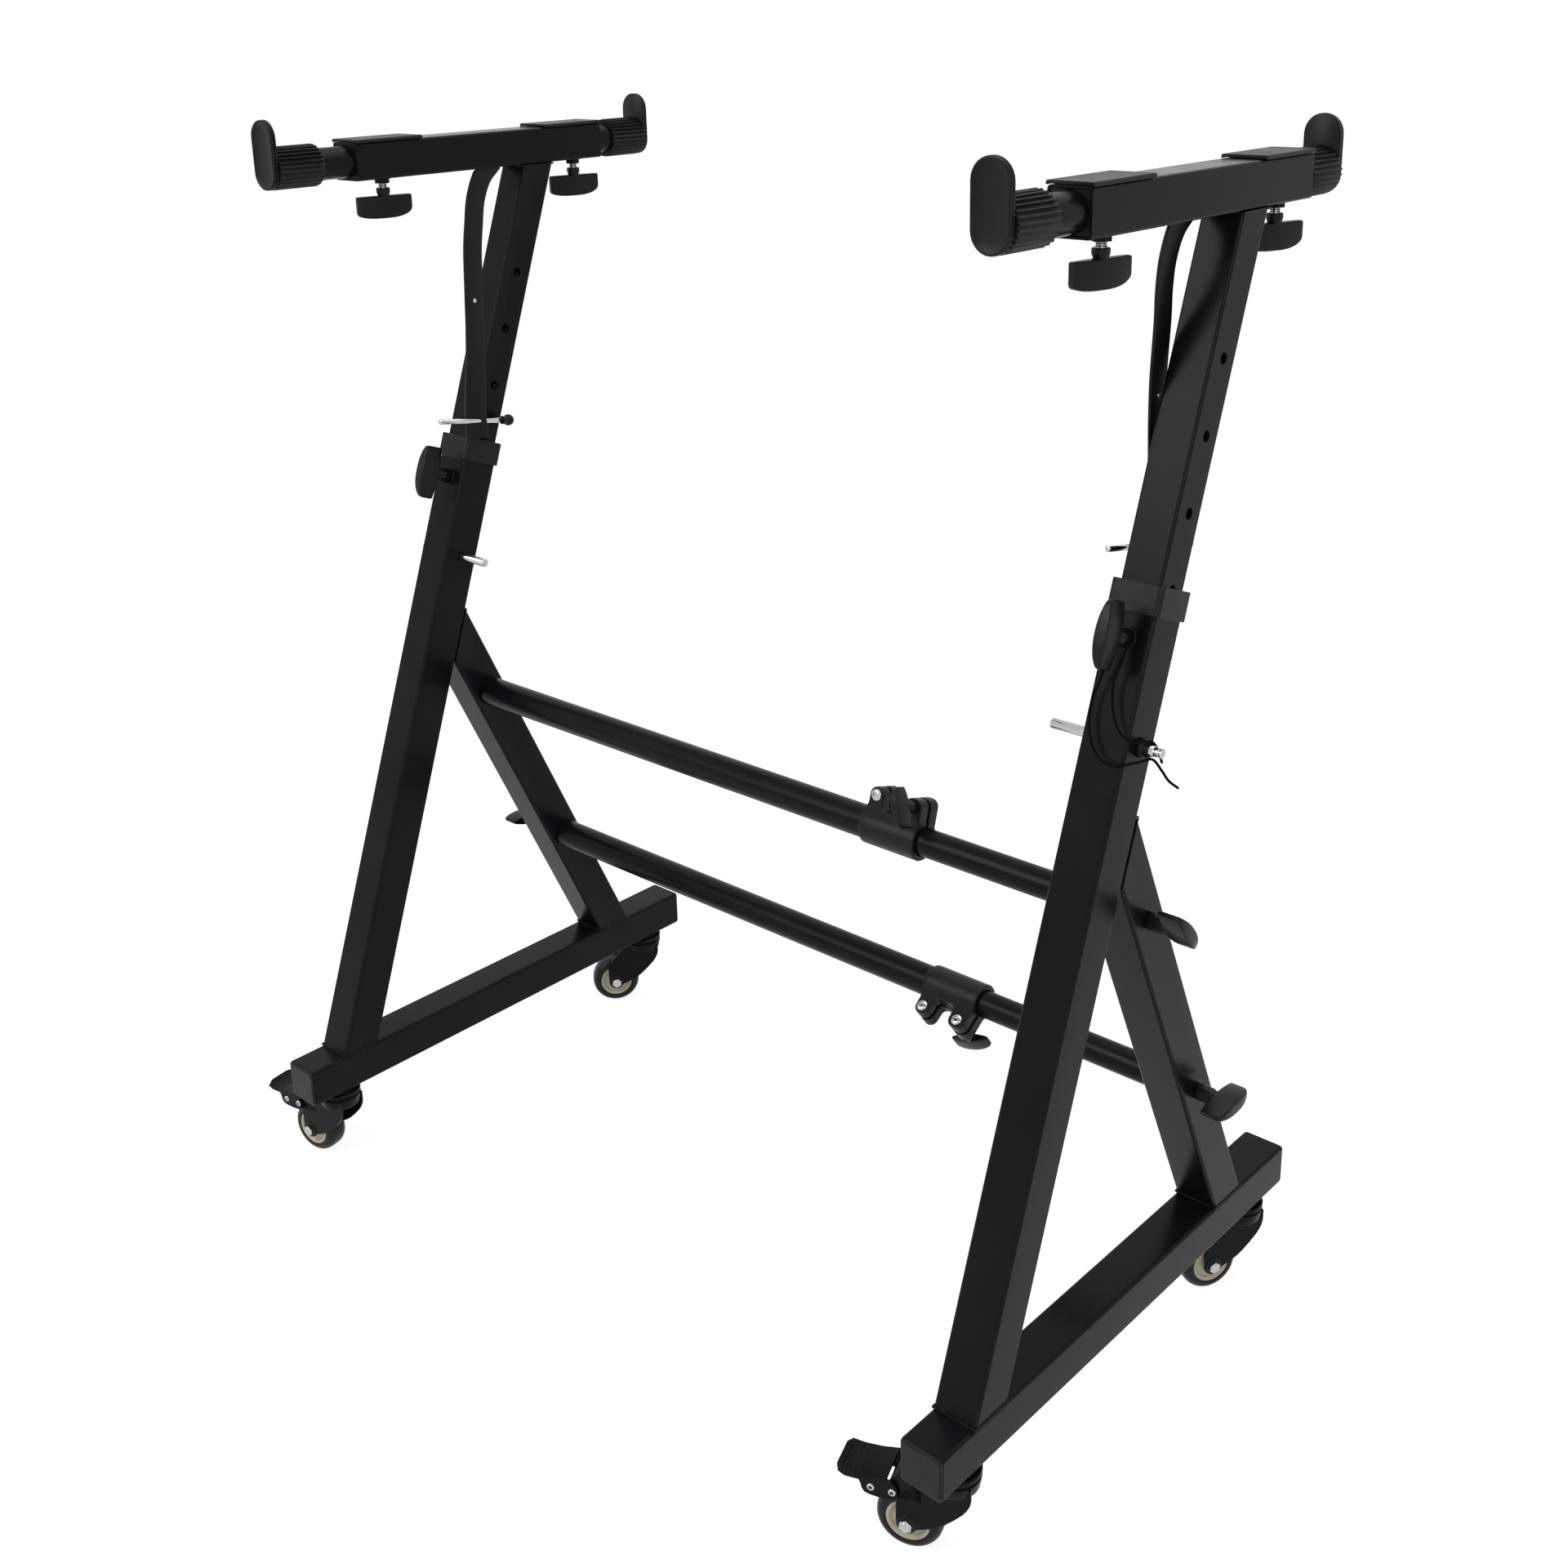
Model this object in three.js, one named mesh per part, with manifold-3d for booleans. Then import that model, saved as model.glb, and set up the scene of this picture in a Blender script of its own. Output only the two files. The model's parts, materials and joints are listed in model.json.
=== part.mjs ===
// Keyboard stand on casters: two slanted side frames with telescoping masts and arms, tied by two
// telescoping cross bars. Millimetres, +Z up, the floor at z = 0, +X to the right side frame,
// +Y to the rear. The origin is on the floor, under the middle of the stand's bounding box.
import * as THREE from 'three';
import { mergeVertices } from 'three/addons/utils/BufferGeometryUtils.js';
import Module from 'manifold-3d';

const wasm = await Module();
wasm.setup();

// ---------------------------------------------------------------- driving dimensions
const gap = 0.3; // left between pieces that touch
const slideGap = 0.35; // each side of a piece that slides in another
const frameSpacing = 765; // between the centre planes of the two side frames
const groundClearance = 82; // floor to the underside of the base beams

const tubeWidth = 38; // base beam, outer upright and brace, across the stand
const tubeWall = 2;
const beamLength = 495;
const beamHeight = 37;

const uprightLean = 19.8; // degrees, leaning to the rear going up
const uprightDepth = 38;
const uprightFootY = -208.5; // front face of the upright at the top of the beam
const uprightLength = 614; // along the front face
const braceLean = 24.6; // degrees, leaning to the front going up
const braceDepth = 38;
const braceFootY = 128.5; // front face of the brace at the top of the beam

const innerWall = 2;
const innerBelowPin = 85.5; // lower end of the inner upright, below the through-pin
const armTopZ = 900; // above the underside of the beam
const armWidth = 34;
const armHeight = 33;
const armWall = 2;
const armAhead = 207.5; // of the mast's axis, where it meets the arm
const armBehind = 80.5;
const padLength = 72;
const padThick = 2.5;

const collarHeight = 22;
const collarWall = 2.2;
const collarRise = 4; // how far the collar caps the end of the outer upright

const pinHolePitch = 55.5;
const pinHoleCount = 4; // the round holes that show
const firstHoleAbove = 2.5; // of the upper end of the outer upright
const throughPinBelow = 110.5; // the upper end of the outer upright
const throughPinDia = 8;
const throughPinInner = 56; // tip, inward of the frame's centre plane
const throughPinHeadAt = 31; // inner side of the head, outward of the centre plane
const pinHeadDia = 10.5;
const pinHeadLength = 7;
const heightTravel = 95; // the mast lowers this far over the through-pin

const screwDia = 8;
const screwHole = 8.8;
const nutAcross = 13;
const armNutHeight = 5;
const heightNutHeight = 7;
const heightKnobBelow = 36.5; // the upper end of the outer upright
const armKnobInset = 37; // front knob, from the front end of the arm
const rearKnobInset = 23; // rear knob, from the rear end of the arm

const extensionDia = 28;
const extensionWall = 2;
const extensionIn = 115; // inserted length of each extension
const gripDia = 35;
const gripRibs = 28;
const gripRibDepth = 1.5;
const supports = { // end of the arm to the stop plate, and the length of the ribbed grip before it
  front: { left: [78, 61], right: [78, 61] },
  rear: { left: [61, 60.7], right: [43, 42.7] },
};
const stopWidth = 30;
const stopThick = 5.5;
const stopBelow = 19; // below the arm's axis
const stopAbove = 41; // above the arm's axis

const barOuterDia = 28;
const barOuterWall = 1.6;
const barInnerDia = 24;
const barInnerWall = 1.5;
const upperBarAt = 345.5; // along the brace, from its foot
const lowerBarAt = 139.4;
const barJointX = 158; // where the outer bar ends, inside the clamp
const barInnerReach = 470;
const barPlug = 8;

const clampLowX = 132;
const clampHighX = 190;
const clampWall = 2.4;
const clampSlit = 3;
const earScrewRise = 27.2; // screw axes from the bar's axis
const earRadius = 7;
const earReach = 12; // front and rear faces of the ears, from the bar's axis
const fixedEarX = 143;
const knobEarX = 181;
const clampScrewDia = 5;
const clampHeadDia = 10;
const clampHeadThick = 2;
const clampTurn = { upper: -17, lower: 126 }; // degrees about the bar, from ears up towards the front
const clampWingTurn = { upper: -24, lower: 111 }; // degrees, from along the ears towards +X

const strapWidth = 21.5;
const strapThick = 2.4;
const strapPinDia = 5;
const strapBallDia = 11;

const wheelDia = 52;
const wheelWidth = 22.5;
const tyreProfile = [[9, 0], [4, 0.6], [1, 3.4], [0, 7]]; // in from the tread, in from the side
const axleDia = 6;
const axleHeadDia = 11.5;
const axleHeadLength = 4;
const casterInset = 41; // swivel axis from the end of the beam
const casterTrail = 32.5;
const stemDia = 10;
const stemLength = 14;
const forkThick = 2.2;
const raceDia = 41;
const raceHeight = 9;
const raceLip = 3; // the narrower plate on the race
const yokeHeight = 10.5; // the cup under the race
const yokeTaper = 1.5;
const casterTurn = { // degrees about +Z, the way each wheel trails
  right_front: 201, right_rear: 242, left_front: 189, left_rear: 231,
};

const lanyardDia = 1.6;

// ---------------------------------------------------------------- derived values
const toRadians = THREE.MathUtils.degToRad;
const leanSin = Math.sin(toRadians(uprightLean));
const leanCos = Math.cos(toRadians(uprightLean));
const braceSin = Math.sin(toRadians(braceLean));
const braceCos = Math.cos(toRadians(braceLean));
const frameX = frameSpacing / 2;
const beamTopZ = groundClearance + beamHeight;
const armTop = groundClearance + armTopZ;
const armBottom = armTop - armHeight;
const armAxisZ = armTop - armHeight / 2;
const innerSize = tubeWidth - 2 * tubeWall - 2 * slideGap;
const outerHalf = tubeWidth / 2;
const throughPinAt = uprightLength - throughPinBelow; // along the upright's front face, as all such places
const heightKnobAt = uprightLength - heightKnobBelow;
const firstHole = uprightLength + firstHoleAbove;
const innerLowEnd = throughPinAt - innerBelowPin;

// ---------------------------------------------------------------- materials
function finish(color, roughness, metalness) {
  return new THREE.MeshStandardMaterial({ color, roughness, metalness });
}
const powderCoat = () => finish(0x161617, 0.55, 0.35);
const blackPlastic = () => finish(0x131314, 0.6, 0);
const blackRubber = () => finish(0x101011, 0.8, 0);
const zincSteel = () => finish(0xb9bcc0, 0.3, 1);
const blackCord = () => finish(0x0c0c0d, 0.9, 0);

// ---------------------------------------------------------------- solids
function solid(geometry) {
  const bare = geometry.clone();
  bare.deleteAttribute('normal');
  bare.deleteAttribute('uv');
  const merged = mergeVertices(bare, 1e-4);
  return new wasm.Manifold(new wasm.Mesh({
    numProp: 3,
    vertProperties: Float32Array.from(merged.attributes.position.array),
    triVerts: Uint32Array.from(merged.index.array),
  }));
}

function geometryOf(manifold) {
  const mesh = manifold.getMesh();
  const geometry = new THREE.BufferGeometry();
  geometry.setAttribute('position', new THREE.BufferAttribute(Float32Array.from(mesh.vertProperties), 3));
  geometry.setIndex(new THREE.BufferAttribute(Uint32Array.from(mesh.triVerts), 1));
  geometry.computeVertexNormals();
  return geometry;
}

function cut(body, ...tools) {
  return tools.reduce((left, tool) => left.subtract(tool), body);
}

function join(first, ...others) {
  return others.reduce((sum, other) => sum.add(other), first);
}

function block(low, high) {
  const size = new THREE.Vector3().subVectors(new THREE.Vector3(...high), new THREE.Vector3(...low));
  const geometry = new THREE.BoxGeometry(size.x, size.y, size.z);
  geometry.translate((low[0] + high[0]) / 2, (low[1] + high[1]) / 2, (low[2] + high[2]) / 2);
  return solid(geometry);
}

// A round bar between two points; a different second radius makes a cone, six sides a hexagon.
function rod(from, to, radius, sides = 24, endRadius = radius) {
  const start = new THREE.Vector3(...from);
  const end = new THREE.Vector3(...to);
  const way = end.clone().sub(start);
  const geometry = new THREE.CylinderGeometry(endRadius, radius, way.length(), sides);
  geometry.applyQuaternion(new THREE.Quaternion().setFromUnitVectors(
    new THREE.Vector3(0, 1, 0), way.clone().normalize()));
  const middle = start.add(end).multiplyScalar(0.5);
  geometry.translate(middle.x, middle.y, middle.z);
  return solid(geometry);
}

// An outline in the Y-Z plane, given as a Shape or as [y, z] points, with its width along X.
function slab(outline, lowX, highX, curveSegments = 8) {
  const shape = Array.isArray(outline)
    ? new THREE.Shape(outline.map(([y, z]) => new THREE.Vector2(y, z))) : outline;
  const geometry = new THREE.ExtrudeGeometry(shape,
    { depth: highX - lowX, bevelEnabled: false, curveSegments });
  geometry.applyMatrix4(new THREE.Matrix4().makeBasis(
    new THREE.Vector3(0, 1, 0), new THREE.Vector3(0, 0, 1), new THREE.Vector3(1, 0, 0)));
  geometry.translate(lowX, 0, 0);
  return solid(geometry);
}

const stand = new THREE.Group();

function piece(name, manifold, material, parent = stand) {
  const mesh = new THREE.Mesh(geometryOf(manifold), material);
  mesh.name = name;
  parent.add(mesh);
  return mesh;
}

// ---------------------------------------------------------------- places on the slanted tubes
// t runs up the upright's front face from the top of the beam, d goes in from that face.
function onUpright(t, d) {
  return [uprightFootY + t * leanSin + d * leanCos, beamTopZ + t * leanCos - d * leanSin];
}

function onBrace(t, d) {
  return [braceFootY - t * braceSin + d * braceCos, beamTopZ + t * braceCos + d * braceSin];
}

// t on the upright where depth d reaches the height z
function uprightAtHeight(z, d) {
  return (z - beamTopZ + d * leanSin) / leanCos;
}

function uprightStrip(fromT, toT, fromD, toD) {
  return [onUpright(fromT, fromD), onUpright(toT, fromD), onUpright(toT, toD), onUpright(fromT, toD)]
    .reverse();
}

const mastHeadY = onUpright(uprightAtHeight(armBottom, uprightDepth / 2), uprightDepth / 2)[0];
const armFrontY = mastHeadY - armAhead;
const armRearY = mastHeadY + armBehind;
const barAxes = { upper: onBrace(upperBarAt, braceDepth / 2), lower: onBrace(lowerBarAt, braceDepth / 2) };
const pinAxis = onUpright(throughPinAt, uprightDepth / 2);

// ---------------------------------------------------------------- side frame
function baseBeam() {
  const half = beamLength / 2;
  const shell = block([-outerHalf, -half, groundClearance], [outerHalf, half, beamTopZ]);
  const inside = block([-outerHalf + tubeWall, -half + tubeWall, groundClearance + tubeWall],
    [outerHalf - tubeWall, half - tubeWall, beamTopZ - tubeWall]);
  const stemHoles = [-1, 1].map((end) => rod([0, end * (half - casterInset), groundClearance - 1],
    [0, end * (half - casterInset), groundClearance + tubeWall + 1], stemDia / 2 + gap, 16));
  return cut(shell, inside, ...stemHoles);
}

// The upright stands on the beam: its foot is cut level.
function uprightOutline(inset, fromZ, toT) {
  const near = inset;
  const far = uprightDepth - inset;
  return [
    onUpright(uprightAtHeight(fromZ, near), near),
    onUpright(uprightAtHeight(fromZ, far), far),
    onUpright(toT, far),
    onUpright(toT, near),
  ];
}

function outerUpright() {
  const foot = beamTopZ + gap;
  const nutTip = onUpright(heightKnobAt, -heightNutHeight);
  const shell = join(
    slab(uprightOutline(0, foot, uprightLength), -outerHalf, outerHalf),
    rod([0, ...onUpright(heightKnobAt, 1)], [0, ...nutTip], nutAcross / 2, 6));
  const bore = slab(uprightOutline(tubeWall, foot + tubeWall, uprightLength + 5),
    -outerHalf + tubeWall, outerHalf - tubeWall);
  const screwBore = rod([0, ...onUpright(heightKnobAt, tubeWall + 2)],
    [0, ...onUpright(heightKnobAt, -heightNutHeight - 1)], screwHole / 2, 16);
  const pinBore = rod([-outerHalf - 1, ...pinAxis], [outerHalf + 1, ...pinAxis],
    throughPinDia / 2 + gap, 16);
  return cut(shell, bore, screwBore, pinBore);
}

// The brace runs from the beam up to the rear face of the outer upright.
function braceTop(d) {
  const sum = toRadians(uprightLean + braceLean);
  const footStep = braceFootY - uprightFootY;
  return (footStep * leanCos + d * Math.cos(sum) - uprightDepth - gap) / Math.sin(sum);
}

function braceFoot(z, d) {
  return (z - beamTopZ - d * braceSin) / braceCos;
}

function brace() {
  const foot = beamTopZ + gap;
  const outline = (near, far, over) => [
    onBrace(braceFoot(foot, near) - over, near),
    onBrace(braceFoot(foot, far) - over, far),
    onBrace(braceTop(far) + over, far),
    onBrace(braceTop(near) + over, near),
  ];
  const shell = slab(outline(0, braceDepth, 0), -outerHalf, outerHalf);
  const bore = slab(outline(tubeWall, braceDepth - tubeWall, braceDepth),
    -outerHalf + tubeWall, outerHalf - tubeWall);
  const screwHoles = Object.values(barAxes).map((axis) => rod([-outerHalf - 1, ...axis],
    [outerHalf + 1, ...axis], screwHole / 2, 16));
  return cut(shell, bore, ...screwHoles);
}

function heightCollar() {
  const low = uprightLength + collarRise - collarHeight;
  const high = uprightLength + collarRise;
  const out = gap + collarWall;
  const half = outerHalf + out;
  const sleeve = slab(uprightStrip(low, high, -out, uprightDepth + out), -half, half);
  const socket = slab(uprightStrip(low - 1, uprightLength + gap, -gap, uprightDepth + gap),
    -outerHalf - gap, outerHalf + gap);
  const mouth = slab(uprightStrip(low, high + 1, tubeWall, uprightDepth - tubeWall),
    -outerHalf + tubeWall, outerHalf - tubeWall);
  return cut(sleeve, socket, mouth);
}

// ---------------------------------------------------------------- mast and arm
const innerNear = tubeWall + slideGap;
const innerFar = innerNear + innerSize;

function innerUpright() {
  const top = armBottom - gap;
  const outline = (inset, fromT, over) => {
    const near = innerNear + inset;
    const far = innerFar - inset;
    return [
      onUpright(fromT, near),
      onUpright(fromT, far),
      onUpright(uprightAtHeight(top - over, far), far),
      onUpright(uprightAtHeight(top - over, near), near),
    ];
  };
  const half = innerSize / 2;
  const shell = slab(outline(0, innerLowEnd, 0), -half, half);
  const bore = slab(outline(innerWall, innerLowEnd - 5, innerWall), -half + innerWall, half - innerWall);
  const holeRadius = throughPinDia / 2 + gap;
  const across = (t) => rod([-half - 1, ...onUpright(t, uprightDepth / 2)],
    [half + 1, ...onUpright(t, uprightDepth / 2)], holeRadius, 12);
  const holes = Array.from({ length: pinHoleCount }, (_, i) => across(firstHole + i * pinHolePitch));
  // The hidden holes below are one slot, so that the mast can slide over the through-pin.
  const slotTop = throughPinAt + heightTravel;
  const slot = slab(uprightStrip(throughPinAt, slotTop, uprightDepth / 2 - holeRadius,
    uprightDepth / 2 + holeRadius), -half - 1, half + 1);
  return cut(shell, bore, ...holes, slot, across(throughPinAt), across(slotTop));
}

const armScrewY = { front: armFrontY + armKnobInset, rear: armRearY - rearKnobInset };

function armTube() {
  const half = armWidth / 2;
  const shell = block([-half, armFrontY, armBottom], [half, armRearY, armTop]);
  const nuts = Object.values(armScrewY).map((y) => rod([0, y, armBottom + 1],
    [0, y, armBottom - armNutHeight], nutAcross / 2, 6));
  const bore = block([-half + armWall, armFrontY - 1, armBottom + armWall],
    [half - armWall, armRearY + 1, armTop - armWall]);
  const screwBores = Object.values(armScrewY).map((y) => rod([0, y, armBottom + armWall + 1],
    [0, y, armBottom - armNutHeight - 1], screwHole / 2, 16));
  return cut(join(shell, ...nuts), bore, ...screwBores);
}

function pad(end) {
  const outer = end === 'front' ? armFrontY : armRearY - padLength;
  return block([-armWidth / 2, outer, armTop + gap],
    [armWidth / 2, outer + padLength, armTop + gap + padThick]);
}

// The arm's two ends: the way out along Y and where the tube ends.
const armEnds = { front: [-1, armFrontY], rear: [1, armRearY] };

function extension(end, side) {
  const [way, endY] = armEnds[end];
  const [out] = supports[end][side];
  const outerY = endY + way * (out - gap);
  const innerY = endY - way * extensionIn;
  const tube = rod([0, outerY, armAxisZ], [0, innerY, armAxisZ], extensionDia / 2);
  const bore = rod([0, outerY + way, armAxisZ], [0, innerY - way, armAxisZ], extensionDia / 2 - extensionWall);
  return cut(tube, bore);
}

function stopOutline() {
  const radius = stopWidth / 2;
  const shape = new THREE.Shape();
  shape.absarc(0, stopAbove - radius, radius, 0, Math.PI, false);
  shape.absarc(0, radius - stopBelow, radius, Math.PI, 2 * Math.PI, false);
  shape.closePath();
  return shape;
}

function ribOutline() {
  const high = gripDia / 2;
  const low = high - gripRibDepth;
  const points = Array.from({ length: gripRibs * 2 }, (_, i) => {
    const angle = (i / gripRibs) * Math.PI;
    const radius = i % 2 ? low : high;
    return new THREE.Vector2(radius * Math.cos(angle), radius * Math.sin(angle));
  });
  return new THREE.Shape(points);
}

// An outline in the X-Z plane, drawn about the arm's axis, with its depth from one Y to another.
function alongArm(shape, fromY, toY) {
  const geometry = new THREE.ExtrudeGeometry(shape,
    { depth: Math.abs(toY - fromY), bevelEnabled: false, curveSegments: 10 });
  geometry.rotateX(Math.PI / 2);
  geometry.translate(0, Math.max(fromY, toY), armAxisZ);
  return solid(geometry);
}

// A ribbed sleeve over the end of the extension, with an upright stop plate across it.
function endSupport(end, side) {
  const [way, endY] = armEnds[end];
  const [out, gripLength] = supports[end][side];
  const plateY = endY + way * out;
  const plate = alongArm(stopOutline(), plateY, plateY + way * stopThick);
  const sleeve = alongArm(ribOutline(), plateY - way * gripLength, plateY + way);
  const bore = rod([0, plateY, armAxisZ], [0, plateY - way * (gripLength + 1), armAxisZ],
    extensionDia / 2 + gap);
  return cut(join(plate, sleeve), bore);
}

// ---------------------------------------------------------------- knobs
// A screw with a half-moon wing. Its own frame has the tube's face at z = 0, +Z outward and the
// wing along X.
function wingKnob({ reach, hubFrom, hubTo, wingFrom, wingTo, length, thick, screw = screwDia }) {
  const wingSide = (wingTo - wingFrom) * 0.45;
  const sagitta = wingTo - wingFrom - wingSide;
  const half = length / 2;
  const radius = (half * half + sagitta * sagitta) / (2 * sagitta);
  const sweep = Math.asin(half / radius);
  const shape = new THREE.Shape();
  shape.moveTo(-half, wingFrom);
  shape.lineTo(half, wingFrom);
  shape.absarc(0, wingTo - radius, radius, Math.PI / 2 - sweep, Math.PI / 2 + sweep, false);
  shape.closePath();
  const geometry = new THREE.ExtrudeGeometry(shape, { depth: thick, bevelEnabled: false, curveSegments: 8 });
  geometry.rotateX(Math.PI / 2);
  geometry.translate(0, thick / 2, 0);
  const hubRadius = thick * 0.62;
  return join(
    solid(geometry),
    rod([0, 0, hubFrom], [0, 0, wingFrom + 2], hubRadius, 12),
    rod([0, 0, -reach], [0, 0, hubTo], screw / 2, 12));
}

// Puts a knob on a face: +Z of its own frame along outward, its wing along wingWay.
function mountKnob(mesh, place, outward, wingWay) {
  const z = new THREE.Vector3(...outward).normalize();
  const x = new THREE.Vector3(...wingWay).projectOnPlane(z).normalize();
  const basis = new THREE.Matrix4().makeBasis(x, z.clone().cross(x), z);
  mesh.quaternion.setFromRotationMatrix(basis);
  mesh.position.set(...place);
}

const armKnobShape = { hubFrom: 10, hubTo: 17, wingFrom: 16, wingTo: 36, length: 52, thick: 10 };
const faceKnobShape = { hubFrom: 10, hubTo: 17, wingFrom: 16, wingTo: 36, length: 50, thick: 11 };
const clampKnobShape = { hubFrom: 3, hubTo: 12, wingFrom: 8, wingTo: 25, length: 34, thick: 8 };
const knobTurn = { // degrees: the way each wing points at rest
  right_front_arm: 78, right_rear_arm: 71, left_front_arm: 76, left_rear_arm: 76,
  right_upper_bar: -50, right_lower_bar: 3, left_upper_bar: -50, left_lower_bar: -8,
};

// ---------------------------------------------------------------- casters
// The caster's own frame: the swivel axis is Z, the wheel trails along +X, z from the floor.
const wheelRadius = wheelDia / 2;
const legInner = wheelWidth / 2 + 1;

// An outline in the caster's X-Z plane, with its thickness along Y.
function sideOn(points, lowY, thick) {
  const shape = new THREE.Shape(points.map(([x, z]) => new THREE.Vector2(x, z)));
  const geometry = new THREE.ExtrudeGeometry(shape, { depth: thick, bevelEnabled: false });
  geometry.rotateX(Math.PI / 2);
  geometry.translate(0, lowY + thick, 0);
  return solid(geometry);
}

// The leg's outline from its rear corner under the race, round the axle, to its front corner. x and z.
const raceLow = groundClearance - gap - raceHeight;
const legRadius = 8.3;
const legOutline = [
  [-16.5, raceLow - 2], [-16.5, 60], [-10, 47.5], [3.5, 34], [14.5, 27],
  ...[212, 241, 270, 300, 330, 360].map((turn) => [
    casterTrail + legRadius * Math.cos(toRadians(turn)), wheelRadius + legRadius * Math.sin(toRadians(turn))]),
  [casterTrail + legRadius, 42], [casterTrail + 3.5, 54], [raceDia / 2, raceLow - 2],
];

// The brake pedal turns on rivets in two lugs of the fork's legs, over the wheel.
const pedalPivot = [42.5, 54.4];
const pedalHalf = 17.5;
const pedalThick = 2;
const rivetDia = 6;
const rivetStep = 16.5;
const rivetHead = 1;
const lugHeight = 12;
const pedalLine = [[47.5, 64.5], [55, 63], [64, 61.9], [74, 61.3], [81, 62.2], [86.5, 64.4]];
const cheekOutline = [
  [37.5, 50], [42, 47.4], [53.5, 46.8], [64.5, 48.3], [67, 55.5], [68, 59], [79.5, 58.2],
  [85, 61.5], [74, 60.3], [60, 61], [47.5, 63.3], [39.5, 60.5],
];

function fork(braked) {
  const raceTop = raceLow + raceHeight;
  const race = join(
    rod([0, 0, raceTop - raceLip], [0, 0, raceTop], raceDia / 2 - raceLip, 16),
    rod([0, 0, raceLow], [0, 0, raceTop - raceLip], raceDia / 2, 16),
    rod([0, 0, raceLow - yokeHeight], [0, 0, raceLow], raceDia / 2 - yokeTaper, 16, raceDia / 2));
  const stem = rod([0, 0, raceTop - 1], [0, 0, raceTop + stemLength], stemDia / 2, 12);
  const legOuter = legInner + forkThick;
  const leg = (way) => sideOn(legOutline, way > 0 ? legInner : -legOuter, forkThick);
  const axle = rod([casterTrail, -legInner, wheelRadius], [casterTrail, legInner, wheelRadius], axleDia / 2, 12);
  const bolt = (way) => rod([casterTrail, way * legInner, wheelRadius],
    [casterTrail, way * (legOuter + axleHeadLength), wheelRadius], axleHeadDia / 2, 6);
  const parts = [stem, leg(1), leg(-1), axle, bolt(1), bolt(-1)];
  if (braked) parts.push(pedalLug(1), pedalLug(-1));
  return join(race, ...parts);
}

function pedalLug(way) {
  const [x, z] = pedalPivot;
  const low = way > 0 ? legInner : -legInner - forkThick;
  return block([raceDia / 2, low, z - lugHeight / 2], [x + lugHeight / 2, low + forkThick, z + lugHeight / 2]);
}

function brakePedal() {
  const [x, z] = pedalPivot;
  const under = pedalLine.map(([px, pz]) => [px, pz - pedalThick]).reverse();
  const plate = sideOn([...pedalLine, ...under], -pedalHalf, 2 * pedalHalf);
  const cheekInner = legInner + forkThick + gap;
  const cheekThick = pedalHalf - cheekInner;
  const cheek = (way) => sideOn(cheekOutline, way > 0 ? cheekInner : -pedalHalf, cheekThick);
  const rivets = (way) => [0, rivetStep].map((step) => rod([x + step, way * cheekInner, z],
    [x + step, way * (pedalHalf + rivetHead), z], rivetDia / 2, 8));
  return join(plate, cheek(1), cheek(-1), ...rivets(1), ...rivets(-1));
}

function wheel() {
  const half = wheelWidth / 2;
  const bore = axleDia / 2 + gap;
  const side = tyreProfile.map(([sink, inset]) => [wheelRadius - sink, half - inset]);
  const profile = [
    [bore, -half], ...side.map(([r, y]) => [r, -y]), ...side.reverse(), [bore, half], [bore, -half],
  ].map(([r, y]) => new THREE.Vector2(r, y));
  return solid(new THREE.LatheGeometry(profile, 24));
}

// ---------------------------------------------------------------- cross bars and clamps
const barEndX = frameX - outerHalf - gap;

function barOuter([y, z]) {
  const axis = (x) => [x, y, z];
  return cut(
    rod(axis(-barEndX), axis(barJointX - gap), barOuterDia / 2),
    rod(axis(-barEndX + barPlug), axis(barJointX + 1), barOuterDia / 2 - barOuterWall),
    rod(axis(-barEndX - 1), axis(-barEndX + barPlug + 1), screwHole / 2, 16));
}

function barInner([y, z]) {
  const axis = (x) => [x, y, z];
  const lowX = barEndX - barInnerReach;
  return cut(
    rod(axis(lowX), axis(barEndX), barInnerDia / 2),
    rod(axis(lowX - 1), axis(barEndX - barPlug), barInnerDia / 2 - barInnerWall),
    rod(axis(barEndX - barPlug - 1), axis(barEndX + 1), screwHole / 2, 16));
}

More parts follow.
